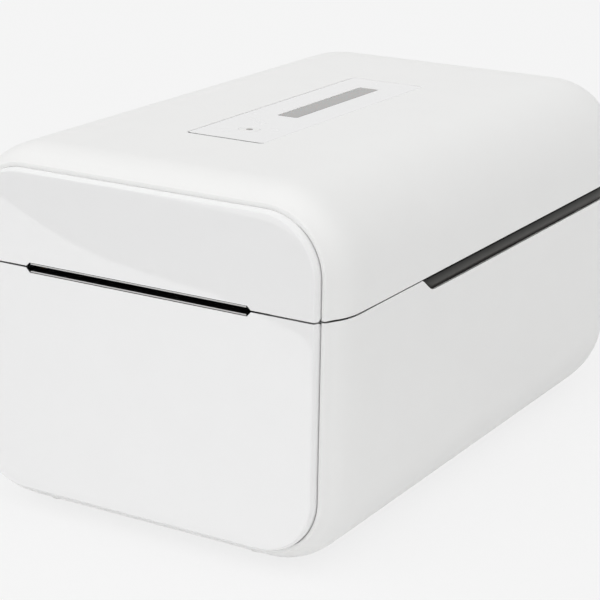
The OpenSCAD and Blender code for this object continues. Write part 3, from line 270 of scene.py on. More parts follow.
def brushed(name, colour, rough, along):
    """Sheet metal with rolling marks along one axis and a faint cloudy plating"""
    f = Finish(name, colour, rough, Metallic=1.0)
    f.mottle(colour, 7, 0.06)
    marks = f.noise(0.25, 4, tuple(0.03 if axis == along else 1.0 for axis in "XYZ"))
    f.gloss(marks, rough - 0.08, rough + 0.12)
    f.bump(marks, 0.004)


def turned(name, colour, rough):
    """Ground or turned metal: fine rings round the X axis"""
    f = Finish(name, colour, rough, Metallic=1.0)
    f.mottle(colour, 3, 0.05)
    rings = f.noise(0.12, 2, (1.0, 0.05, 0.05))
    f.gloss(rings, rough - 0.05, rough + 0.1)
    f.bump(rings, 0.002)


def rubbery(name, colour):
    """Matt moulded rubber with a dusty bloom"""
    f = Finish(name, colour, 0.78, Sheen_Weight=0.15, Specular_IOR_Level=0.3)
    f.mottle(colour, 2.5, 0.25)
    f.gloss(f.noise(1.5), 0.7, 0.88)
    f.bump(f.noise(0.18, 2), 0.01)


def solder_mask(name, colour):
    """Circuit board: glossy mask over copper tracks that show as paler lines"""
    f = Finish(name, colour, 0.3, Coat_Weight=0.35, Coat_Roughness=0.2)
    bricks = {"Scale": 1 / (9 * MM), "Mortar Size": 0.035, "Color1": colour, "Color2": tinted(colour, 0.88),
              "Mortar": tinted(colour, 1.9), "Vector": f.place}
    tracks = f.add("ShaderNodeTexBrick", bricks, offset=0.5, squash=0.5, squash_frequency=3)
    f.shade(Base_Color=tracks.outputs["Color"])
    f.bump(tracks.outputs["Fac"], 0.03)
    f.gloss(f.noise(2), 0.24, 0.36)


def glazed(name, colour):
    """Fired ceramic under a thin glaze"""
    f = Finish(name, colour, 0.18, Coat_Weight=0.6, Coat_Roughness=0.06)
    f.mottle(colour, 1.2, 0.05)
    f.gloss(f.noise(0.8), 0.14, 0.26)
    f.bump(f.noise(0.4, 2), 0.003)


def lip_with_painted_slot_shade(name, colour, dark, edge_y):
    """Sheet steel with its lip ground bright in front of a Y, in millimetres, and painted dark behind it as
    the shade inside the slot
    """
    f = Finish(name, colour, 0.34, Metallic=0.5, Specular_IOR_Level=0.2)
    # painted shade: behind the lip the steel turns to the dark colour of the slot's shaded inside
    f.tone(f.mottle(colour, 7, 0.04), dark, f.along((0, 1, 0), edge_y, edge_y + 0.05))
    marks = f.noise(0.25, 4, (0.03, 1, 1))
    f.gloss(marks, 0.3, 0.5)
    f.bump(marks, 0.004)


def band_plastic_with_painted_shade(name, colour, dark, rough):
    """Dark textured plastic with painted shade on its outer wall: darker and less glossy towards the lid and
    the band's front end
    """
    f = Finish(name, colour, rough)
    mirrored = f.add("ShaderNodeVectorMath", {0: f.place}, operation="ABSOLUTE").outputs[0]
    outer = f.along((1, 0, 0), HALF_W - 6, HALF_W - 5, mirrored)
    inward = Vector((0, BAND_H, BAND_SLANT)).normalized()
    front_end = inward.dot((0, FRONT + BAND_FRONT, SPLIT))
    end = f.along(inward, front_end + 2.2, front_end + 1)
    top = f.along((0, 0, 1), SPLIT - 4.8, SPLIT - 1)
    # painted shade: share is high on the outer wall near the lid and at the band's front end, where the tone
    # darkens and the reflection weakens
    share = joined(f.tree, "MULTIPLY", outer, joined(f.tree, "MAXIMUM", end, top))
    f.tone(f.mottle(colour, 24, 0.05), dark, share)
    f.shade(Specular_IOR_Level=f.ramp(share, low=0.3, high=0.1))
    f.gloss(f.noise(9, 2), rough * 0.9, rough * 1.12)
    f.bump(f.noise(0.4, 1), 0.02)


moulded("casing_white", linear(241, 241, 240), 0.42)
moulded("panel_white", linear(241), 0.02, 0.5, 0.00004, Specular_IOR_Level=0.68)
moulded("strip_white", linear(238), 0.26, grain=0.8, depth=0.002)
window_plastic("window_grey", linear(122, 120, 116))
# the frame's second colour is painted shade under the lid and at the band's front end
band_plastic_with_painted_shade("frame_dark", linear(62, 61, 58), linear(14), 0.5)
moulded("guide_dark", linear(54), 0.42, grain=0.5, depth=0.01, drift=0.05)
# the tear bars' second colour is the painted shade inside the slot
lip_with_painted_slot_shade("blade_grey", linear(212, 212, 211), linear(24, 24, 25), FRONT + 0.26)
brushed("steel_sheet", linear(196, 198, 200), 0.32, "Y")
turned("steel_pin", linear(205, 206, 208), 0.2)
turned("bronze", linear(196, 158, 98), 0.42)
turned("pinion_brass", linear(214, 180, 104), 0.28)
moulded("gear_plastic", linear(226, 222, 208), 0.4, grain=0.6, drift=0.03)
rubbery("rubber_black", linear(38, 38, 39))
solder_mask("board_green", linear(22, 84, 54))
moulded("part_black", linear(40, 40, 41), 0.48, grain=0.5, depth=0.012, drift=0.08)
brushed("port_metal", linear(200, 202, 204), 0.26, "X")
moulded("light_diffuser", linear(236, 236, 230), 0.4, Subsurface_Weight=0.2)
moulded("button_white", linear(237, 237, 236), 0.34, grain=0.5, depth=0.003)
brushed("sink_metal", linear(204, 206, 208), 0.36, "X")
glazed("head_ceramic", linear(222, 226, 224))


# ---------------- making pieces

def solid_mesh(name, bm):
    """A mesh in metres from one in millimetres, with its faces pointing outwards"""
    bmesh.ops.scale(bm, vec=(MM, MM, MM), verts=bm.verts)
    bmesh.ops.recalc_face_normals(bm, faces=bm.faces)
    return plain_mesh(name, bm)


def plain_mesh(name, bm):
    """A mesh from a finished bmesh"""
    mesh = bpy.data.meshes.new(name)
    bm.to_mesh(mesh)
    bm.free()
    return mesh


def in_scene(name, data):
    """A new object of the scene"""
    thing = bpy.data.objects.new(name, data)
    bpy.context.scene.collection.objects.link(thing)
    return thing


def loose(name, bm):
    """A plain object from a mesh in millimetres, not finished yet"""
    return in_scene(name, solid_mesh(name, bm))


def take_result(piece, modifier):
    """Puts what a modifier makes of a piece in place of the piece's own mesh"""
    bpy.context.view_layer.update()
    done = bpy.data.meshes.new_from_object(piece.evaluated_get(bpy.context.evaluated_depsgraph_get()))
    piece.modifiers.remove(modifier)
    piece.data = done


def finished(node, bm, **look):
    """Makes the finished piece that stands in for a solid, from a mesh in millimetres"""
    complete(loose(node + "_finished", bm), [node], **look)


def complete(piece, nodes, smooth=40, bevel=0.0, steps=2, finish=None, own=True):
    """Gives a mesh object its shading, softened edges, finish and body; own is for the solids' stand-ins"""
    finish = finish or SLOT_OF[nodes[0]]
    piece.data.materials.clear()
    piece.data.materials.append(FINISHES[finish])
    for face in piece.data.polygons:
        face.use_smooth = True
        face.material_index = 0
    piece.data.set_sharp_from_angle(angle=math.radians(smooth))
    if bevel:
        soft = piece.modifiers.new("soft_edges", "BEVEL")
        soft.width, soft.segments = bevel * MM, steps
        soft.limit_method, soft.angle_limit = "ANGLE", math.radians(35)
    even = piece.modifiers.new("even_shading", "WEIGHTED_NORMAL")
    even.keep_sharp = True
    even.weight = 60
    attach(piece, BODY_OF[nodes[0]])
    if own:
        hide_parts(*nodes)


def softened_copy(node):
    """A mesh of a solid in millimetres, with its corners merged and its flats joined"""
    bm = bmesh.new()
    bm.from_mesh(frame["nodes"][node].data)
    bmesh.ops.remove_doubles(bm, verts=bm.verts, dist=0.002 * MM)
    bmesh.ops.dissolve_degenerate(bm, edges=bm.edges, dist=0.001 * MM)
    bmesh.ops.dissolve_limit(bm, angle_limit=math.radians(0.5), verts=bm.verts, edges=bm.edges)
    bmesh.ops.scale(bm, vec=(1 / MM,) * 3, verts=bm.verts)
    return bm


def grid_skin(bm, rings):
    """Quads between consecutive rings of vertices"""
    for near, far in zip(rings, rings[1:]):
        for k in range(len(near) - 1):
            quad = [near[k], near[k + 1], far[k + 1], far[k]]
            if len(set(quad)) == 4:
                bm.faces.new(quad)


def prism(bm, near, far):
    """Solid between two outlines of as many points"""
    near, far = ([bm.verts.new(point) for point in outline] for outline in (near, far))
    bm.faces.new(near[::-1])
    bm.faces.new(far)
    for k in range(len(near)):
        m = (k + 1) % len(near)
        bm.faces.new([near[k], near[m], far[m], far[k]])


def slab(bm, outline, low, high):
    """Upright prism of an outline in X and Y"""
    prism(bm, [(x, y, low) for x, y in outline], [(x, y, high) for x, y in outline])


def block(bm, low, high):
    """Straight block between two corners"""
    (x0, y0, z0), (x1, y1, z1) = low, high
    slab(bm, [(x0, y0), (x1, y0), (x1, y1), (x0, y1)], z0, z1)


def centred_block(bm, x, z, width, height, front, rear):
    """Straight block round a point across and up, from a Y to another"""
    block(bm, (x - width / 2, front, z - height / 2), (x + width / 2, rear, z + height / 2))


AXES = {"X": Matrix.Rotation(math.pi / 2, 3, "Y"), "Y": Matrix.Rotation(-math.pi / 2, 3, "X"),
        "Z": Matrix.Identity(3)}


def lathe(bm, profile, place, axis="Z", steps=48):
    """Turned solid from (radius, height) points; a radius of 0 closes it on its axis"""
    turn, place = AXES[axis], Vector(place)
    rings = []
    for radius, height in profile:
        angles = [2 * math.pi * k / steps for k in range(steps)] if radius else [0]
        points = [Vector((radius * math.cos(a), radius * math.sin(a), height)) for a in angles]
        rings.append([bm.verts.new(turn @ point + place) for point in points])
    closed = profile[0][0] != 0
    for near, far in zip(rings, rings[1:] + ([rings[0]] if closed else [])):
        for k in range(steps):
            m = (k + 1) % steps
            quad = [near[k % len(near)], near[m % len(near)], far[m % len(far)], far[k % len(far)]]
            bm.faces.new(list(dict.fromkeys(quad)))


def tube(bm, outer, bore, low, high, x, y):
    """Upright post with a screw bore"""
    wall = [(bore / 2, low), (outer / 2, low), (outer / 2, high), (bore / 2, high)]
    lathe(bm, wall, (x, y, 0), steps=32)


def side_bosses(bm, row, low):
    """Screw bosses along the side walls, each with a web that joins it to its wall"""
    for x, y in both_sides(row):
        tube(bm, BOSS_D, BORE, low, low + BOSS_H, x, y)
        x0, x1 = sorted((x + math.copysign(1, x), x + math.copysign(7, x)))
        block(bm, (x0, y - WEB_T / 2, low), (x1, y + WEB_T / 2, low + BOSS_H))


def rounded(low, high, radius, grow=0.0, steps=6):
    """Outline of a rounded rectangle in X and Y, grown by an amount"""
    r = radius + grow
    points = []
    for quarter, (cx, cy) in enumerate([(high.x, high.y), (low.x, high.y), (low.x, low.y), (high.x, low.y)]):
        cx += radius if cx == low.x else -radius
        cy += radius if cy == low.y else -radius
        for k in range(steps + 1):
            a = math.pi / 2 * (quarter + k / steps)
            points.append((cx + r * math.cos(a), cy + r * math.sin(a)))
    return points


def cut(piece, cutters, way="DIFFERENCE"):
    """Takes closed meshes in millimetres out of a piece or adds them, before its modifiers are added"""
    tool = loose("cutter", cutters)
    knife = piece.modifiers.new("cut", "BOOLEAN")
    knife.operation, knife.solver, knife.object = way, "EXACT", tool
    take_result(piece, knife)
    mesh = tool.data
    bpy.data.objects.remove(tool)
    bpy.data.meshes.remove(mesh)


def join_in(piece, bm):
    """Adds closed meshes in millimetres to a piece's own mesh"""
    extra = solid_mesh("extra", bm)
    whole = bmesh.new()
    whole.from_mesh(piece.data)
    whole.from_mesh(extra)
    whole.to_mesh(piece.data)
    whole.free()
    bpy.data.meshes.remove(extra)


# ---------------- casing shells

SIDE_ROWS, BEND_ROWS, TOP_ROWS = 6, 18, 8
FRONT_RINGS, REAR_RINGS = 22, 18
JOINT_FRONT, JOINT_SIDE = 0.34, 0.2  # half of the gap between lid and base
FOOT_LEAN = 1.0  # how far the joint opens towards the inside
RIM_STEPS = [0.5, 0.9, 1.3, 1.6, 1.8, RIM_EDGE]


def half_outline(half_w, height, corner, foot):
    """(across, up) points of a round-shouldered half outline, from the right foot over to the left"""
    across, up = half_w - corner, height - corner
    right = [(half_w, foot + (up - foot) * k / SIDE_ROWS) for k in range(SIDE_ROWS)]
    for k in range(BEND_ROWS + 1):
        a = math.pi / 2 * k / BEND_ROWS
        right.append((across + corner * math.cos(a), up + corner * math.sin(a)))
    right += [(across * (1 - k / TOP_ROWS), height) for k in range(1, TOP_ROWS)]
    return right + [(0, height)] + [(-x, h) for x, h in reversed(right)]


def bend(length, drop, power, a):
    """Depth and drop along an edge rounding, at an angle from its face"""
    return (length * (1 - math.cos(a) ** (2 / power)), drop * (1 - math.sin(a) ** (2 / power)))


def soft_min(a, b, blend):
    """The lesser of two values, with the change from one to the other rounded"""
    return (a + b - math.hypot(a - b, blend)) / 2


def soft_ramp(t, blend):
    """0 before the origin and t after it, with a rounded start"""
    return (t + math.hypot(t, blend)) / 2


def front_depth(inset):
    """How far the front rounding lies behind the front plane, at an inset from the outline"""
    if inset >= FRONT_ROUND:
        return 0
    u = 1 - max(inset, 0) / FRONT_ROUND
    return FRONT_ROUND * (1 - max(0, 1 - u ** FRONT_POWER) ** (1 / FRONT_POWER))


class Shell:
    """One half of the casing: an outer skin, an inner skin and the rims between them"""

    def __init__(self, height, corner, sign, edge, foot_at):
        self.height, self.corner, self.sign, self.edge, self.foot_at = height, corner, sign, edge, foot_at
        self.bm = bmesh.new()

    def inset_of(self, x, h):
        """How far a point lies inside the casing's outline"""
        dx = abs(x) - (HALF_W - self.corner)
        dh = h - (self.height - self.corner)
        if dx > 0 and dh > 0:
            return self.corner - math.hypot(dx, dh)
        return min(HALF_W - abs(x), self.height - h)

    def ring(self, points):
        """Vertices at points whose heights are counted away from the joint"""
        return [self.bm.verts.new((x, y, SPLIT + self.sign * h)) for x, y, h in points]

    def panel_points(self, grow):
        """The front panel's outline, grown by an amount"""
        return half_outline(PANEL_HALF + grow, self.height - self.edge + grow, PANEL_R + grow, JOINT_FRONT)

    def section(self, y, inset=0.0, lean=0.0):
        """The casing's outline at a depth"""
        foot = self.foot_at(y) + lean
        points = half_outline(HALF_W - inset, self.height - inset, self.corner - inset, foot)
        return [(x, y, h) for x, h in points]

    def surface(self, inset, past):
        """Front skin at an inset from the outline, a distance past the rim's outer edge"""
        fall = RIM_DEPTH + RIM_FALL * soft_ramp(past, 0.22) + 1.5 * max(0, past - RIM_REACH) ** 2
        return FRONT + soft_min(max(front_depth(inset), RIM_DEPTH + 0.6), fall, 0.3)

    def seam_rings(self):
        """Down the seam's far wall, then out over the flat rim of the casing"""
        inner, outer = self.panel_points(0), self.panel_points(1)
        for grow, depth in [(-0.6, None), (0, None), (SEAM_SIDE, None), (SEAM_SIDE, SEAM_BREAK),
                            (SEAM_SIDE + SEAM_BREAK, 0)]:
            points = []
            for (x0, h0), (x1, h1) in zip(inner, outer):
                sideways = min(1, max(0, (abs(x1 - x0) - 0.55) / 0.2))
                narrow = SEAM_TOP + (SEAM_SIDE - SEAM_TOP) * sideways - SEAM_SIDE
                g = grow + (narrow if grow >= SEAM_SIDE else 0)
                y = PANEL_BACK if depth is None else FRONT + RIM_DEPTH + depth
                points.append((x0 + (x1 - x0) * g, y, h0 + (h1 - h0) * g))
            yield points
        for grow in RIM_STEPS:
            points = self.panel_points(grow)
            yield [(x, self.surface(self.inset_of(x, h), grow - RIM_EDGE), h) for x, h in points]

    def front_rings(self):
        """From the rim's outer edge round the front edge to the straight sides"""
        rim = self.panel_points(RIM_EDGE)
        hull = self.section(FRONT + FRONT_ROUND)
        for k in range(1, FRONT_RINGS + 1):
            points = []
            for (x0, h0), (x1, y1, h1) in zip(rim, hull):
                start = self.inset_of(x0, h0)
                a0 = math.asin((1 - start / FRONT_ROUND) ** (FRONT_POWER / 2))
                a = a0 + (math.pi / 2 - a0) * k / FRONT_RINGS
                share = 1 - bend(FRONT_ROUND, FRONT_ROUND, FRONT_POWER, a)[1] / start
                x, h = x0 + (x1 - x0) * share, h0 + (h1 - h0) * share
                inset = self.inset_of(x, h)
                points.append((x, self.surface(inset, start - inset), h))
            yield points

    def build(self, side_y):
        """Both skins from the panel's opening to the rear, with the feet of the outer one softened"""
        wall_y = FRONT + FRONT_WALL
        mouth = [(x, wall_y, h) for x, h in self.panel_points(-SHOULDER)]
        outer = [mouth, [(x, PANEL_BACK, h) for x, wall, h in mouth]] + list(self.seam_rings())
        count = len(outer) - 1
        inner_round = FRONT_ROUND - WALL
        first = math.acos((1 - (FRONT_WALL - WALL) / inner_round) ** (FRONT_POWER / 2))
        lip = self.section(wall_y, WALL + bend(inner_round, inner_round, FRONT_POWER, first)[1], FOOT_LEAN)
        inner = [mouth]
        for k in range(1, count + 1):
            inner.append([tuple(m + (n - m) * k / count for m, n in zip(p, q)) for p, q in zip(mouth, lip)])
        outer += list(self.front_rings())
        for k in range(1, FRONT_RINGS + 1):
            a = first + (math.pi / 2 - first) * k / FRONT_RINGS
            depth, drop = bend(inner_round, inner_round, FRONT_POWER, a)
            inner.append(self.section(FRONT + WALL + depth, WALL + drop, FOOT_LEAN))
        for y in side_y:
            outer.append(self.section(y))
            inner.append(self.section(y, WALL, FOOT_LEAN))
        for k in range(REAR_RINGS + 1):
            a = math.pi / 2 * (1 - k / REAR_RINGS)
            depth, drop = bend(REAR_ROUND, REAR_DROP, REAR_POWER, a)
            outer.append(self.section(REAR - depth, drop))
            depth, drop = bend(REAR_ROUND - WALL, REAR_DROP - WALL, REAR_POWER, a)
            inner.append(self.section(REAR - WALL - depth, WALL + drop, FOOT_LEAN))
        outer = [self.ring(points) for points in outer]
        inner = [outer[0]] + [self.ring(points) for points in inner[1:]]
        grid_skin(self.bm, outer)
        grid_skin(self.bm, inner)
        for end in (0, -1):
            for k in range(len(outer) - 1):
                rim = [outer[k][end], outer[k + 1][end], inner[k + 1][end], inner[k][end]]
                self.bm.faces.new(list(dict.fromkeys(rim)))
        self.bm.faces.new(outer[-1])
        self.bm.faces.new(inner[-1])
        self.bm.faces.new([outer[-1][0], outer[-1][-1], inner[-1][-1], inner[-1][0]])
        bmesh.ops.recalc_face_normals(self.bm, faces=self.bm.faces)
        feet = {ring[end] for ring in outer[count + 1:] for end in (0, -1)}
        edges = [e for e in self.bm.edges if e.verts[0] in feet and e.verts[1] in feet]
        bmesh.ops.bevel(self.bm, geom=edges, offset=0.18, segments=2, profile=0.5, affect="EDGES")
        return self.bm


def joint_gap(y):
    """Half of the gap between lid and base: widest across the front, closing along the sides"""
    share = min(1, max(0, (y - FRONT - 12) / 30))
    return JOINT_FRONT + (JOINT_SIDE - JOINT_FRONT) * share * share * (3 - 2 * share)


def evenly(start, end, count):
    """Steps of the same length after a start, up to the end"""
    return [start + (end - start) * k / count for k in range(1, count + 1)]


def lid_shell():
    """Lid: shell, strip pocket, window and button openings, posts, bosses and hinge knuckles"""
    shell = Shell(TOP - SPLIT, LID_CORNER, 1, PANEL_EDGE, joint_gap)
    lid = loose("lid_shell_finished", shell.build(evenly(FRONT + FRONT_ROUND, REAR - REAR_ROUND, 12)[:-1]))
    pocket, floor_z = bmesh.new(), STRIP_LOW.z
    pocket_low = STRIP_LOW - Vector((STRIP_LEFT_SEAM - SEAM, STRIP_FRONT_SEAM - SEAM, 0))
    slab(pocket, rounded(pocket_low, STRIP_HIGH, STRIP_R, SEAM), floor_z, TOP + 1)
    cut(lid, pocket)
    holes, low, high, r = bmesh.new(), TOP - 6, floor_z + 1, 6.5
    slab(holes, rounded(WINDOW_LOW, WINDOW_HIGH, 1, 0.45), low, high)
    lathe(holes, [(0, low), (r, low), (r, high), (0, high)], (0, BUTTON_Y, 0))
    cut(lid, holes)
    extra = bmesh.new()
    for x, y in both_sides(CARRIER_ROW):
        tube(extra, POST_D, BORE, CARRIER_Z, TOP - 1.2, x, y)
    side_bosses(extra, LINER_ROW, LINER_Z)
    for x, y in both_sides(CONTROL_ROW):
        tube(extra, CONTROL_POST_D, CONTROL_BORE, CONTROL_Z, TOP - 2.1, x, y)
    for x in (-KNUCKLE_X, KNUCKLE_X):
        x0, x1 = x - KNUCKLE_W / 2, x + KNUCKLE_W / 2
        knuckle(extra, x0, x1)
        block(extra, (x0, REAR - WALL, HINGE_Z), (x1, REAR, SPLIT + 1.25))
    join_in(lid, extra)
    complete(lid, ["lid_shell"])


def knuckle(bm, x0, x1):
    """Hinge knuckle bored for its pin"""
    outer, bore, edge = KNUCKLE_D / 2, PIN_D / 2 + 0.05, 0.3
    profile = [(bore, x0), (outer - edge, x0), (outer, x0 + edge), (outer, x1 - edge), (outer - edge, x1),
               (bore, x1)]
    lathe(bm, profile, (0, HINGE_Y, HINGE_Z), "X", 32)


def base_foot(y):
    """How far the base's edge lies below the lid joint, round the slanted start of the grip band's cut"""
    share = (y - FRONT - BAND_FRONT) / BAND_SLANT
    return max(joint_gap(y), soft_min(BAND_H, BAND_H * share, 1.4))


def rear_rise(y):
    """How far the base's bottom has risen where it rounds up to the rear"""
    cosine = (max(0, y - REAR + REAR_ROUND) / REAR_ROUND) ** (REAR_POWER / 2)
    return REAR_DROP * (1 - (1 - cosine ** 2) ** (1 / REAR_POWER))


def base_shell():
    """Base: shell, rear sockets, switch well, foot recesses, posts and ribs"""
    shell = Shell(SPLIT - BASE_LOW.z, BASE_CORNER, -1, PANEL_FOOT, base_foot)
    start = FRONT + BAND_FRONT
    corner = start + BAND_SLANT
    side_y = evenly(FRONT + FRONT_ROUND, start, 5) + evenly(start, corner - 2.4, 4)
    side_y += evenly(corner - 2.4, corner + 4, 12) + evenly(corner + 4, REAR - REAR_ROUND, 8)[:-1]
    base = loose("base_shell_finished", shell.build(side_y))
    cutters, socket_y, beyond, mouth = bmesh.new(), REAR - SOCKET_DEPTH, REAR + 2, JACK_R + 0.5
    lathe(cutters, [(0, socket_y), (JACK_R, socket_y), (JACK_R, REAR - 0.4), (mouth, REAR + 0.1),
                    (mouth, beyond), (0, beyond)], (JACK_X, 0, PORT_Z), "Y")
    centred_block(cutters, DATA_X, PORT_Z, DATA_W, DATA_H, socket_y, beyond)
    r, seat = FOOT_D / 2, BASE_LOW.z + FOOT_SEAT
    for x, y in both_sides(FEET):
        lathe(cutters, [(0, 0), (r + 1.5, 0), (r, BASE_LOW.z + 0.5), (r, seat), (0, seat)], (x, y, 0))
    cut(base, cutters)
    for width, height, front, rear, way in [
            (HOUSING_W, HOUSING_H, REAR - HOUSING_DEPTH, REAR - WALL + 0.2, "UNION"),
            (WELL_W, WELL_H, REAR - WELL_DEPTH, beyond, "DIFFERENCE"),
            (ROCKER_W, ROCKER_H, socket_y, REAR - WELL_DEPTH + 0.5, "DIFFERENCE")]:
        box = bmesh.new()
        centred_block(box, ROCKER_X, ROCKER_Z, width, height, front, rear)
        cut(base, box, way)
    extra, floor_z = bmesh.new(), BASE_LOW.z + WALL / 2
    for row, top in ((MECHANISM_ROW, MECHANISM_Z), (BOARD_ROW, BOARD_Z)):
        for x, y in both_sides(row):
            tube(extra, POST_D, BORE, floor_z, top, x, y)
    side_bosses(extra, DECK_ROW, DECK_Z - BOSS_H)
    for x in (-RIB_X, RIB_X):
        block(extra, (x - RIB_T / 2, RIB_FRONT, floor_z), (x + RIB_T / 2, RIB_REAR, RIB_TOP))
    for v in extra.verts:
        if abs(v.co.z - floor_z) < 0.01:
            v.co.z += rear_rise(v.co.y)
    join_in(base, extra)
    complete(base, ["base_shell"])


# ---------------- front panels and tear bars

PANEL_INSETS = [0, 0.08, 0.2, 0.36, 0.55, 0.8, 1.1, 1.4, 1.7, 1.9, 2.3, 3, 4, 5.2, 6.6, 8, 12, 20]


def panel_roll(inset):
    """How far the panel's face lies behind the front plane: a tight rolled edge on a long soft crown"""
    return 2.0 * max(0, 1 - inset / 1.1) ** 1.8 + 0.12 * max(0, 1 - inset / 8) ** 3


def front_panel(node, height, sign, edge, slot_depth):
    """Let-in front panel with a rolled edge and its half of the label slot, hollowed behind the slot"""
    bm = bmesh.new()

    def placed(x, y, h):
        return bm.verts.new((x, y, SPLIT + sign * h))

    def ring(inset, y):
        points = half_outline(PANEL_HALF - inset, height - edge - inset, PANEL_R - inset, JOINT_FRONT)
        return [placed(x, y, h) for x, h in points]

    rings = [ring(0, PANEL_BACK)] + [ring(inset, FRONT + panel_roll(inset)) for inset in PANEL_INSETS]
    grid_skin(bm, rings)
    tip, inside = SLOT_HALF - SLOT_TIP * JOINT_FRONT / slot_depth, SLOT_HALF - SLOT_TIP
    notch = [(-tip, JOINT_FRONT), (-inside, slot_depth), (inside, slot_depth), (tip, JOINT_FRONT)]
    near = [placed(x, FRONT, h) for x, h in notch]
    far = [placed(x + math.copysign(NOTCH_FLARE, x), PANEL_BACK, h + FOOT_LEAN) for x, h in notch]
    bm.faces.new(rings[-1] + near)
    edges_near = [[r[-1] for r in rings[1:]], [r[0] for r in rings[1:]]]
    edges_far = [[placed(v.co.x, PANEL_BACK, JOINT_FRONT + FOOT_LEAN) for v in line] for line in edges_near]
    for line, back, corner in zip(edges_near, edges_far, (rings[0][-1], rings[0][0])):
        bm.faces.new([corner, line[0], back[0]])
        grid_skin(bm, [line, back])
    line_near = [edges_near[0][-1]] + near + [edges_near[1][-1]]
    line_far = [edges_far[0][-1]] + far + [edges_far[1][-1]]
    grid_skin(bm, [line_near, line_far])
    bm.faces.new(rings[0] + edges_far[0] + far + edges_far[1][::-1])
    bmesh.ops.recalc_face_normals(bm, faces=bm.faces)
    lip = set(line_near)
    edges = [e for e in bm.edges if lip.issuperset(e.verts) and abs(e.verts[0].co.y - e.verts[1].co.y) < 0.1]
    bmesh.ops.bevel(bm, geom=edges, offset=0.12, segments=2, profile=0.5, affect="EDGES")
    stake = [(0, PANEL_BACK - 1), (1.5, PANEL_BACK - 1), (1.5, PANEL_BACK + 1.9), (1.2, PANEL_BACK + 2.2),
             (0, PANEL_BACK + 2.2)]
    for x in (-STAKE_X, 0, STAKE_X):
        lathe(bm, stake, (x, 0, SPLIT + sign * (slot_depth - TEAR_GAP + 4)), "Y", 24)
    finished(node, bm, smooth=50)


def tear_bar(node, sign, level):
    """Folded tear bar: a ground lip that shows in the slot, a bend and a leaf staked behind the panel"""
    lip_y, leaf_y, r = FRONT + 0.2, PANEL_BACK + 0.4, 0.9
    path = [(lip_y + 0.1, level), (lip_y, level - 0.1), (lip_y, level - LIP_LAND),
            (lip_y + 0.7, level - TEAR_T)]
    for k in range(5):
        a = math.pi / 2 * k / 4
        path.append((leaf_y + TEAR_T - r + r * math.sin(a), level - TEAR_T + r - r * math.cos(a)))
    path += [(leaf_y + TEAR_T, level + TEAR_LEAF), (leaf_y, level + TEAR_LEAF), (leaf_y, level)]
    bm = bmesh.new()
    prism(bm, *([(x, y, SPLIT + sign * h) for y, h in path] for x in (-TEAR_HALF, TEAR_HALF)))
    finished(node, bm, smooth=30)


# ---------------- control strip

def control_strip():
    """Strip let into the lid, with its window and button openings"""
    bm = bmesh.new()
    slab(bm, rounded(STRIP_LOW, STRIP_HIGH, STRIP_R, steps=10), STRIP_LOW.z, STRIP_HIGH.z)
    strip = loose("control_strip_finished", bm)
    holes, r = bmesh.new(), BUTTON_R + 0.07
    slab(holes, rounded(WINDOW_LOW, WINDOW_HIGH, 1, SEAM), TOP - 4, TOP + 1)
    lathe(holes, [(0, TOP - 4), (r, TOP - 4), (r, TOP + 1), (0, TOP + 1)], (0, BUTTON_Y, 0), steps=64)
    cut(strip, holes)
    complete(strip, ["control_strip"], bevel=0.2, steps=3)


def painted_strip_seam_shade():
    """Dark block pressed against the strip's front end, which paints the shade in the seam there"""
    bm = bmesh.new()
    outline = rounded(STRIP_LOW - Vector((0, 0.4, 0)), STRIP_HIGH, STRIP_R, 0.05, 8)
    front = [p for p in outline if p[1] < STRIP_LOW.y + STRIP_R * 0.6]
    back = [(x * 0.97, y + 0.8) for x, y in front]
    # a dark block that paints the seam's shade at the strip's front end
    slab(bm, front + back[::-1], STRIP_LOW.z + 0.1, TOP - 0.06)
    complete(loose("painted_strip_seam_shade", bm), ["control_strip"], finish="rubber_black", own=False)


def status_window():
    """Long window over the light guide"""
    bm = bmesh.new()
    slab(bm, rounded(WINDOW_LOW, WINDOW_HIGH, 1, steps=8), WINDOW_LOW.z, WINDOW_HIGH.z)
    finished("status_window", bm, bevel=0.25, steps=3)


def feed_button():
    """Feed button: a level cap with a small dark grey disc let in at its middle, a rim under the strip and a
    stem
    """
    z, r, lens, rim, stem = BUTTON_HIGH.z, BUTTON_R, 1.5, 5.7, 1.75
    bm = bmesh.new()
    lathe(bm, [(0, BUTTON_LOW.z), (stem, BUTTON_LOW.z), (stem, z - 2.7), (rim, z - 2.7), (rim, z - 1.7),
               (r, z - 1.7), (r, z - 0.1), (r - 0.04, z - 0.03), (r - 0.12, z), (lens + 0.15, z),
               (lens + 0.1, z - 0.05), (lens + 0.05, z - 0.8), (0, z - 0.8)], (0, BUTTON_Y, 0), steps=64)
    finished("feed_button", bm, smooth=50)
    # a small dark grey disc in the cap's middle
    bm = bmesh.new()
    lathe(bm, [(0, z - 1), (lens, z - 1), (lens, z - 0.12), (lens - 0.1, z - 0.04), (0, z - 0.02)],
          (0, BUTTON_Y, 0))
    complete(loose("button_dark_disc", bm), ["feed_button"], finish="window_grey", own=False)


# ---------------- repeated pieces by geometry nodes

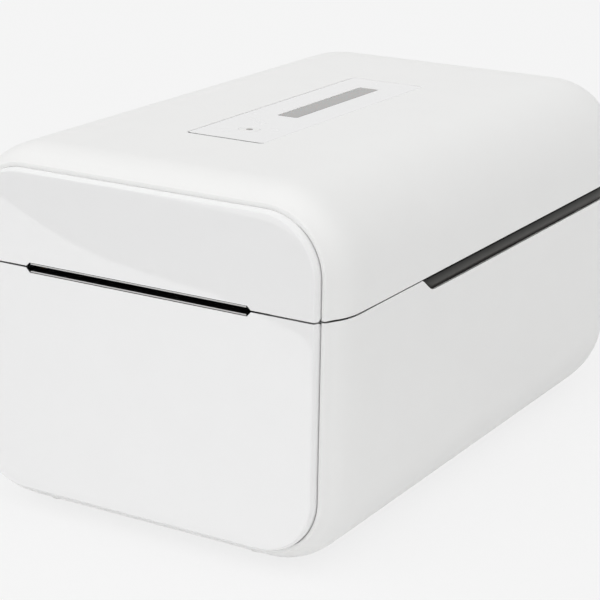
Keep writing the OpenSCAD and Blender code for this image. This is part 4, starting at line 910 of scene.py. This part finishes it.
class Pattern:
    """A geometry node tree with named inputs that ends in real geometry with its material set"""

    def __init__(self, name, **sizes):
        self.tree = bpy.data.node_groups.new(name, "GeometryNodeTree")
        face = self.tree.interface
        inputs = {"Places": "Geometry", "Finish": "Material", **dict.fromkeys(sizes, "Float")}
        for label, kind in inputs.items():
            face.new_socket(label, in_out="INPUT", socket_type="NodeSocket" + kind)
        face.new_socket("Geometry", in_out="OUTPUT", socket_type="NodeSocketGeometry")
        self.ids = {item.name: item.identifier for item in face.items_tree}
        self.sizes = sizes
        self.entry = self.node("NodeGroupInput").outputs
        self.exit = self.node("NodeGroupOutput")

    def node(self, kind, inputs=None, **settings):
        """Adds a node to the pattern"""
        return add_node(self.tree, kind, inputs, **settings)

    def lifted(self, mesh, height):
        """A mesh moved up"""
        up = self.node("ShaderNodeCombineXYZ", {"Z": height}).outputs[0]
        return self.node("GeometryNodeTransform", {"Geometry": mesh, "Translation": up}).outputs[0]

    def close(self, shape, turn=(0, 0, 0)):
        """Puts the turned shape on every place, as real geometry with its material"""
        spots = self.node("GeometryNodeInstanceOnPoints", {"Points": self.entry["Places"], "Instance": shape,
                                                           "Rotation": turn})
        real = self.node("GeometryNodeRealizeInstances", {"Geometry": spots.outputs[0]}).outputs[0]
        paint = self.node("GeometryNodeSetMaterial", {"Geometry": real, "Material": self.entry["Finish"]})
        feed(self.tree, self.exit, {0: paint.outputs[0]})
        return self

    def run(self, name, places, finish, **sizes):
        """A plain mesh object of the pattern on a list of places; sizes are in metres and radians"""
        mesh = bpy.data.meshes.new(name)
        mesh.from_pydata([Vector(p) * MM for p in places], [], [])
        piece = in_scene(name, mesh)
        made = piece.modifiers.new("pattern", "NODES")
        made.node_group = self.tree
        for label, value in {**self.sizes, **sizes, "Finish": FINISHES[finish]}.items():
            made[self.ids[label]] = value
        take_result(piece, made)
        return piece


def screw_pattern():
    """Cross-recessed pan-head screws, one on each place, head upwards or downwards"""
    p = Pattern("screw_set", Head=5.5 * MM, Rise=1.8 * MM, Shank=3.0 * MM, Length=9.0 * MM, Turn=0.0)

    def part(label, share):
        return joined(p.tree, "MULTIPLY", p.entry[label], share)

    radius, slit, rise = part("Head", 0.5), part("Head", 0.13), p.entry["Rise"]
    head = p.node("GeometryNodeMeshCylinder", {"Vertices": 24, "Radius": radius,
                                               "Depth": part("Rise", 0.55)})
    dome = p.node("GeometryNodeMeshCone", {"Vertices": 24, "Radius Top": part("Head", 0.34),
                                           "Radius Bottom": radius, "Depth": part("Rise", 0.45)})
    whole = p.node("GeometryNodeMeshBoolean", operation="UNION", solver="EXACT")
    for piece, height in ((head, 0.275), (dome, 0.55)):
        feed(p.tree, whole, {"Mesh 2": p.lifted(piece.outputs["Mesh"], part("Rise", height))})
    recess = p.node("GeometryNodeMeshBoolean", {"Mesh 1": whole.outputs[0]}, operation="DIFFERENCE",
                    solver="EXACT")
    for x, y in ((radius, slit), (slit, radius)):
        extent = p.node("ShaderNodeCombineXYZ", {"X": x, "Y": y, "Z": rise})
        bar = p.node("GeometryNodeMeshCube", {"Size": extent.outputs[0]}).outputs["Mesh"]
        feed(p.tree, recess, {"Mesh 2": p.lifted(bar, part("Rise", 0.95))})
    shank = p.node("GeometryNodeMeshCylinder", {"Vertices": 16, "Radius": part("Shank", 0.5),
                                                "Depth": p.entry["Length"]})
    screw = p.node("GeometryNodeJoinGeometry")
    for piece in (recess.outputs[0], p.lifted(shank.outputs["Mesh"], part("Length", -0.499))):
        feed(p.tree, screw, {0: piece})
    return p.close(screw.outputs[0], p.node("ShaderNodeCombineXYZ", {"X": p.entry["Turn"]}).outputs[0])


def spring_pattern():
    """Coil springs of round wire, one standing on each place"""
    p = Pattern("coil_springs", Coil=3.0 * MM, Wire=0.4 * MM, Height=7.0 * MM, Turns=5.0)
    size = p.entry
    coil = p.node("GeometryNodeCurveSpiral", {"Resolution": 32, "Rotations": size["Turns"],
                                              "Start Radius": size["Coil"], "End Radius": size["Coil"],
                                              "Height": size["Height"]})
    wire = p.node("GeometryNodeCurvePrimitiveCircle", {"Resolution": 10, "Radius": size["Wire"]})
    body = p.node("GeometryNodeCurveToMesh", {"Curve": coil.outputs[0], "Profile Curve": wire.outputs[0],
                                              "Fill Caps": True})
    return p.close(body.outputs[0])


def join_pieces(name, pieces):
    """Joins the meshes of several plain objects into one"""
    bm = bmesh.new()
    for piece in pieces:
        bm.from_mesh(piece.data)
        bpy.data.objects.remove(piece)
    return in_scene(name, plain_mesh(name, bm))


def screws():
    """The base's and the lid's screws"""
    pattern = screw_pattern()

    def line(row, z, length, **sizes):
        places = [(x, y, z) for x, y in both_sides(row)]
        return pattern.run("screws", places, "steel_pin", Length=length * MM, **sizes)

    small = dict(Head=4.0 * MM, Rise=1.2 * MM, Shank=2.0 * MM)
    base = [line(MECHANISM_ROW, MECHANISM_SEAT, 9), line(BOARD_ROW, BOARD_SEAT, 8),
            line(DECK_ROW, DECK_SEAT, 12)]
    lid = [line(CARRIER_ROW, CARRIER_SEAT, 9, Turn=math.pi), line(LINER_ROW, LINER_SEAT, 8, Turn=math.pi),
           line(CONTROL_SCREWS, CONTROL_SEAT, 5, Turn=math.pi, **small)]
    complete(join_pieces("base_screws_finished", base), ["base_screws"], smooth=35)
    complete(join_pieces("lid_screws_finished", lid), ["lid_screws"], smooth=35)


def head_springs():
    """The two compression springs over the print head"""
    places = [(x, y, SPRING_FOOT) for x, y in both_sides(SPRING_ROW)]
    complete(spring_pattern().run("head_springs_finished", places, "steel_pin"), ["head_springs"], smooth=60)


# ---------------- other pieces

def rubber_feet():
    """Four moulded feet, each with a chamfered sole and a shallow ring groove"""
    r, top = 7.8, BASE_LOW.z + FOOT_SEAT
    profile = [(0, 0.35), (2.2, 0.35), (2.5, 0), (r - 1.6, 0), (r - 0.9, 0.1), (r - 0.3, 0.5), (r, 1.1),
               (r, top), (0, top)]
    bm = bmesh.new()
    for x, y in both_sides(FEET):
        lathe(bm, profile, (x, y, 0))
    finished("rubber_feet", bm, smooth=45)


def grip_frame():
    """Dark frame over the base, with a groove along the top and the front end of its grip band"""
    bm = softened_copy("deck_frame")
    bm.normal_update()
    wall, inner_x, rear_y, least_height = [], 57, REAR - 25, 5
    for face in bm.faces:
        low, high = (f(v.co.z for v in face.verts) for f in (min, max))
        middle, way = face.calc_center_median(), face.normal
        outward = way.x * middle.x > 40 or (way.y > 0.3 and middle.y > rear_y)
        upright = abs(way.z) < 0.1 and SPLIT - BAND_H < low and high - low > least_height
        if upright and outward and abs(middle.x) > inner_x:
            wall.append(face)
    ring = bmesh.ops.inset_region(bm, faces=wall, thickness=BAND_LINE, use_even_offset=True)["faces"]
    bm.normal_update()
    kept = {v for face in wall for v in face.verts}
    pushed = {}
    for face in ring:
        for v in face.verts:
            if v not in kept:
                pushed[v] = pushed.get(v, Vector()) + face.normal
    front_end = FRONT + BAND_FRONT + BAND_SLANT + BAND_LINE
    for v in kept:
        if v.co.y < front_end:
            v.co.y += BAND_END
    for v, way in pushed.items():
        if v.co.z > SPLIT - 1 or v.co.y < front_end:
            v.co -= way.normalized() * BAND_GROOVE * (1 if v.co.z > SPLIT - 1 else 0.5)
    finished("deck_frame", bm, smooth=50, bevel=0.2)


EDGES = {
    "roll_bay": 0.4, "lid_liner": 0.5, "guide_left": 0.4, "guide_right": 0.4,
    "mechanism_frame": 0.15, "feed_motor": 0.3, "paper_guide": 0.2, "gap_sensor": 0.3, "main_board": 0.15,
    "board_parts": 0.3, "power_jack": 0.2, "data_port": 0.15, "switch_housing": 0.25, "hinge_pins": 0.2,
    "guide_rails": 0.3, "platen_shaft": 0.3, "platen_sleeve": 0.3, "latch_bar": 0.2, "power_rocker": 0.4,
    "control_board": 0.15, "light_guide": 0.3, "head_carrier": 0.2, "latch_pins": 0.2, "head_sink": 0.25,
    "head_ceramic": 0.12, "head_driver_cover": 0.4, "platen_bushes": 0.15, "idler_axle": 0.15,
    "platen_gear": 0.08, "idler_gear": 0.08, "motor_pinion": 0.08, "guide_pinion": 0.08, "latch_springs": 0,
}


def build_printer():
    """Makes every piece of the printer"""
    lid_shell()
    base_shell()
    front_panel("upper_front_panel", TOP - SPLIT, 1, PANEL_EDGE, SLOT_UP)
    front_panel("lower_front_panel", SPLIT - BASE_LOW.z, -1, PANEL_FOOT, SLOT_DOWN)
    tear_bar("upper_tear_bar", 1, SLOT_UP - TEAR_GAP)
    tear_bar("lower_tear_bar", -1, SLOT_DOWN - TEAR_GAP)
    for make in (control_strip, painted_strip_seam_shade, status_window, feed_button, rubber_feet, grip_frame, screws,
                 head_springs):
        make()
    for node, edge in EDGES.items():
        finished(node, softened_copy(node), smooth=35, bevel=edge)


# ---------------- floor, light and camera

PALE = linear(245)
FLOOR_GLOW = 0.88
# edge of the dark card on the floor: its soft reflection crosses the upper front panel
CARD_EDGE = [(-520, -640), (-400, -559), (-342, -523), (-296, -495), (-251, -474), (-210, -463),
             (-163, -453), (60, -356)]


def matt_sheet(name, outline, level):
    """Flat sheet in metres with a dead matt material, and the material's node tree"""
    mesh = bpy.data.meshes.new(name)
    mesh.from_pydata(outline, [], [tuple(range(len(outline)))])
    material, tree = new_material(name)
    feed(tree, tree.nodes["Principled BSDF"],
         {"Base Color": linear(level), "Roughness": 1.0, "Specular IOR Level": 0.0})
    mesh.materials.append(material)
    return in_scene(name, mesh), tree


def seen_rays(tree):
    """1 on the rays that show the backdrop: seen straight, mirrored or through a clear piece"""
    ray = add_node(tree, "ShaderNodeLightPath").outputs
    total = ray["Is Camera Ray"]
    for kind in ("Is Glossy Ray", "Is Transmission Ray"):
        total = joined(tree, "MAXIMUM", total, ray[kind])
    return total


def blended(tree, share, first, second, end):
    """Ends a tree in a blend of two shaders"""
    blend = add_node(tree, "ShaderNodeMixShader", {0: share, 1: first.outputs[0], 2: second.outputs[0]})
    feed(tree, tree.nodes[end], {"Surface": blend.outputs[0]})


def pale_floor():
    """Plain pale floor that keeps the printer's shadow"""
    corners_of_floor = [(x, y, 0) for x, y in ((-6, -6), (6, -6), (6, 6), (-6, 6))]
    floor, tree = matt_sheet("pale_floor", corners_of_floor, 250)
    plain = add_node(tree, "ShaderNodeEmission", {"Color": PALE})
    share = joined(tree, "MULTIPLY", seen_rays(tree), FLOOR_GLOW)
    blended(tree, share, tree.nodes["Principled BSDF"], plain, "Material Output")


def dark_card():
    """Matt dark card flat on the floor beyond the light foreground, kept out of every view"""
    outline = CARD_EDGE + [(x - 20, y - 190) for x, y in reversed(CARD_EDGE)]
    card = matt_sheet("dark_card", [(x * MM, y * MM, MM) for x, y in outline], 14)[0]
    card.visible_camera = card.visible_diffuse = card.visible_shadow = False


DOME = 0.092
# broad soft lights: the way each lies, where its edge starts (cosine) and its level
SOFT_LIGHTS = [((0, 0, 1), 0.5, 0.462), ((0, -1, 1), 0.6, 0.77), ((1, 0, 1), 0.6, 0.931),
               ((-1, -1, 1), 0.6, 0.875), ((0, 1, 0.6), 0.5, 0.154)]


def studio_light():
    """Plain dome with broad soft lights above, in front and to either side"""
    world = bpy.context.scene.world = bpy.data.worlds.new("studio")
    world.use_nodes = True
    tree = world.node_tree
    way = add_node(tree, "ShaderNodeTexCoord").outputs["Generated"]
    level = DOME
    for toward, edge, strength in SOFT_LIGHTS:
        dot = add_node(tree, "ShaderNodeVectorMath", {0: way, 1: Vector(toward).normalized()},
                       operation="DOT_PRODUCT")
        lobe = add_node(tree, "ShaderNodeMapRange", interpolation_type="SMOOTHSTEP",
                        inputs={"From Min": edge, "To Max": strength, "Value": dot.outputs["Value"]})
        level = joined(tree, "ADD", level, lobe.outputs["Result"])
    light = tree.nodes["Background"]
    feed(tree, light, {"Color": (1, 1, 1, 1), "Strength": level})
    backdrop = add_node(tree, "ShaderNodeBackground", {"Color": PALE})
    blended(tree, seen_rays(tree), light, backdrop, "World Output")


def studio_camera():
    """Long lens from the front right, a little above the lid"""
    place = Vector((0.4381, -0.7700, 0.3440))
    ahead = Vector((-0.4815, 0.8234, -0.3003)).normalized()
    up = Vector((-0.1672, 0.2500, 0.9537))
    up = (up - up.dot(ahead) * ahead).normalized()
    data = bpy.data.cameras.new("studio_camera")
    data.lens, data.sensor_width = 120.545, 36
    data.clip_start, data.clip_end = 0.01, 30
    camera = in_scene("studio_camera", data)
    turn = Matrix((ahead.cross(up), up, -ahead)).transposed()
    camera.matrix_world = Matrix.Translation(place) @ turn.to_4x4()
    bpy.context.scene.camera = camera


bpy.context.scene.view_settings.view_transform = "Standard"
studio_camera()
studio_light()
pale_floor()
dark_card()
build_printer()
bpy.context.view_layer.update()
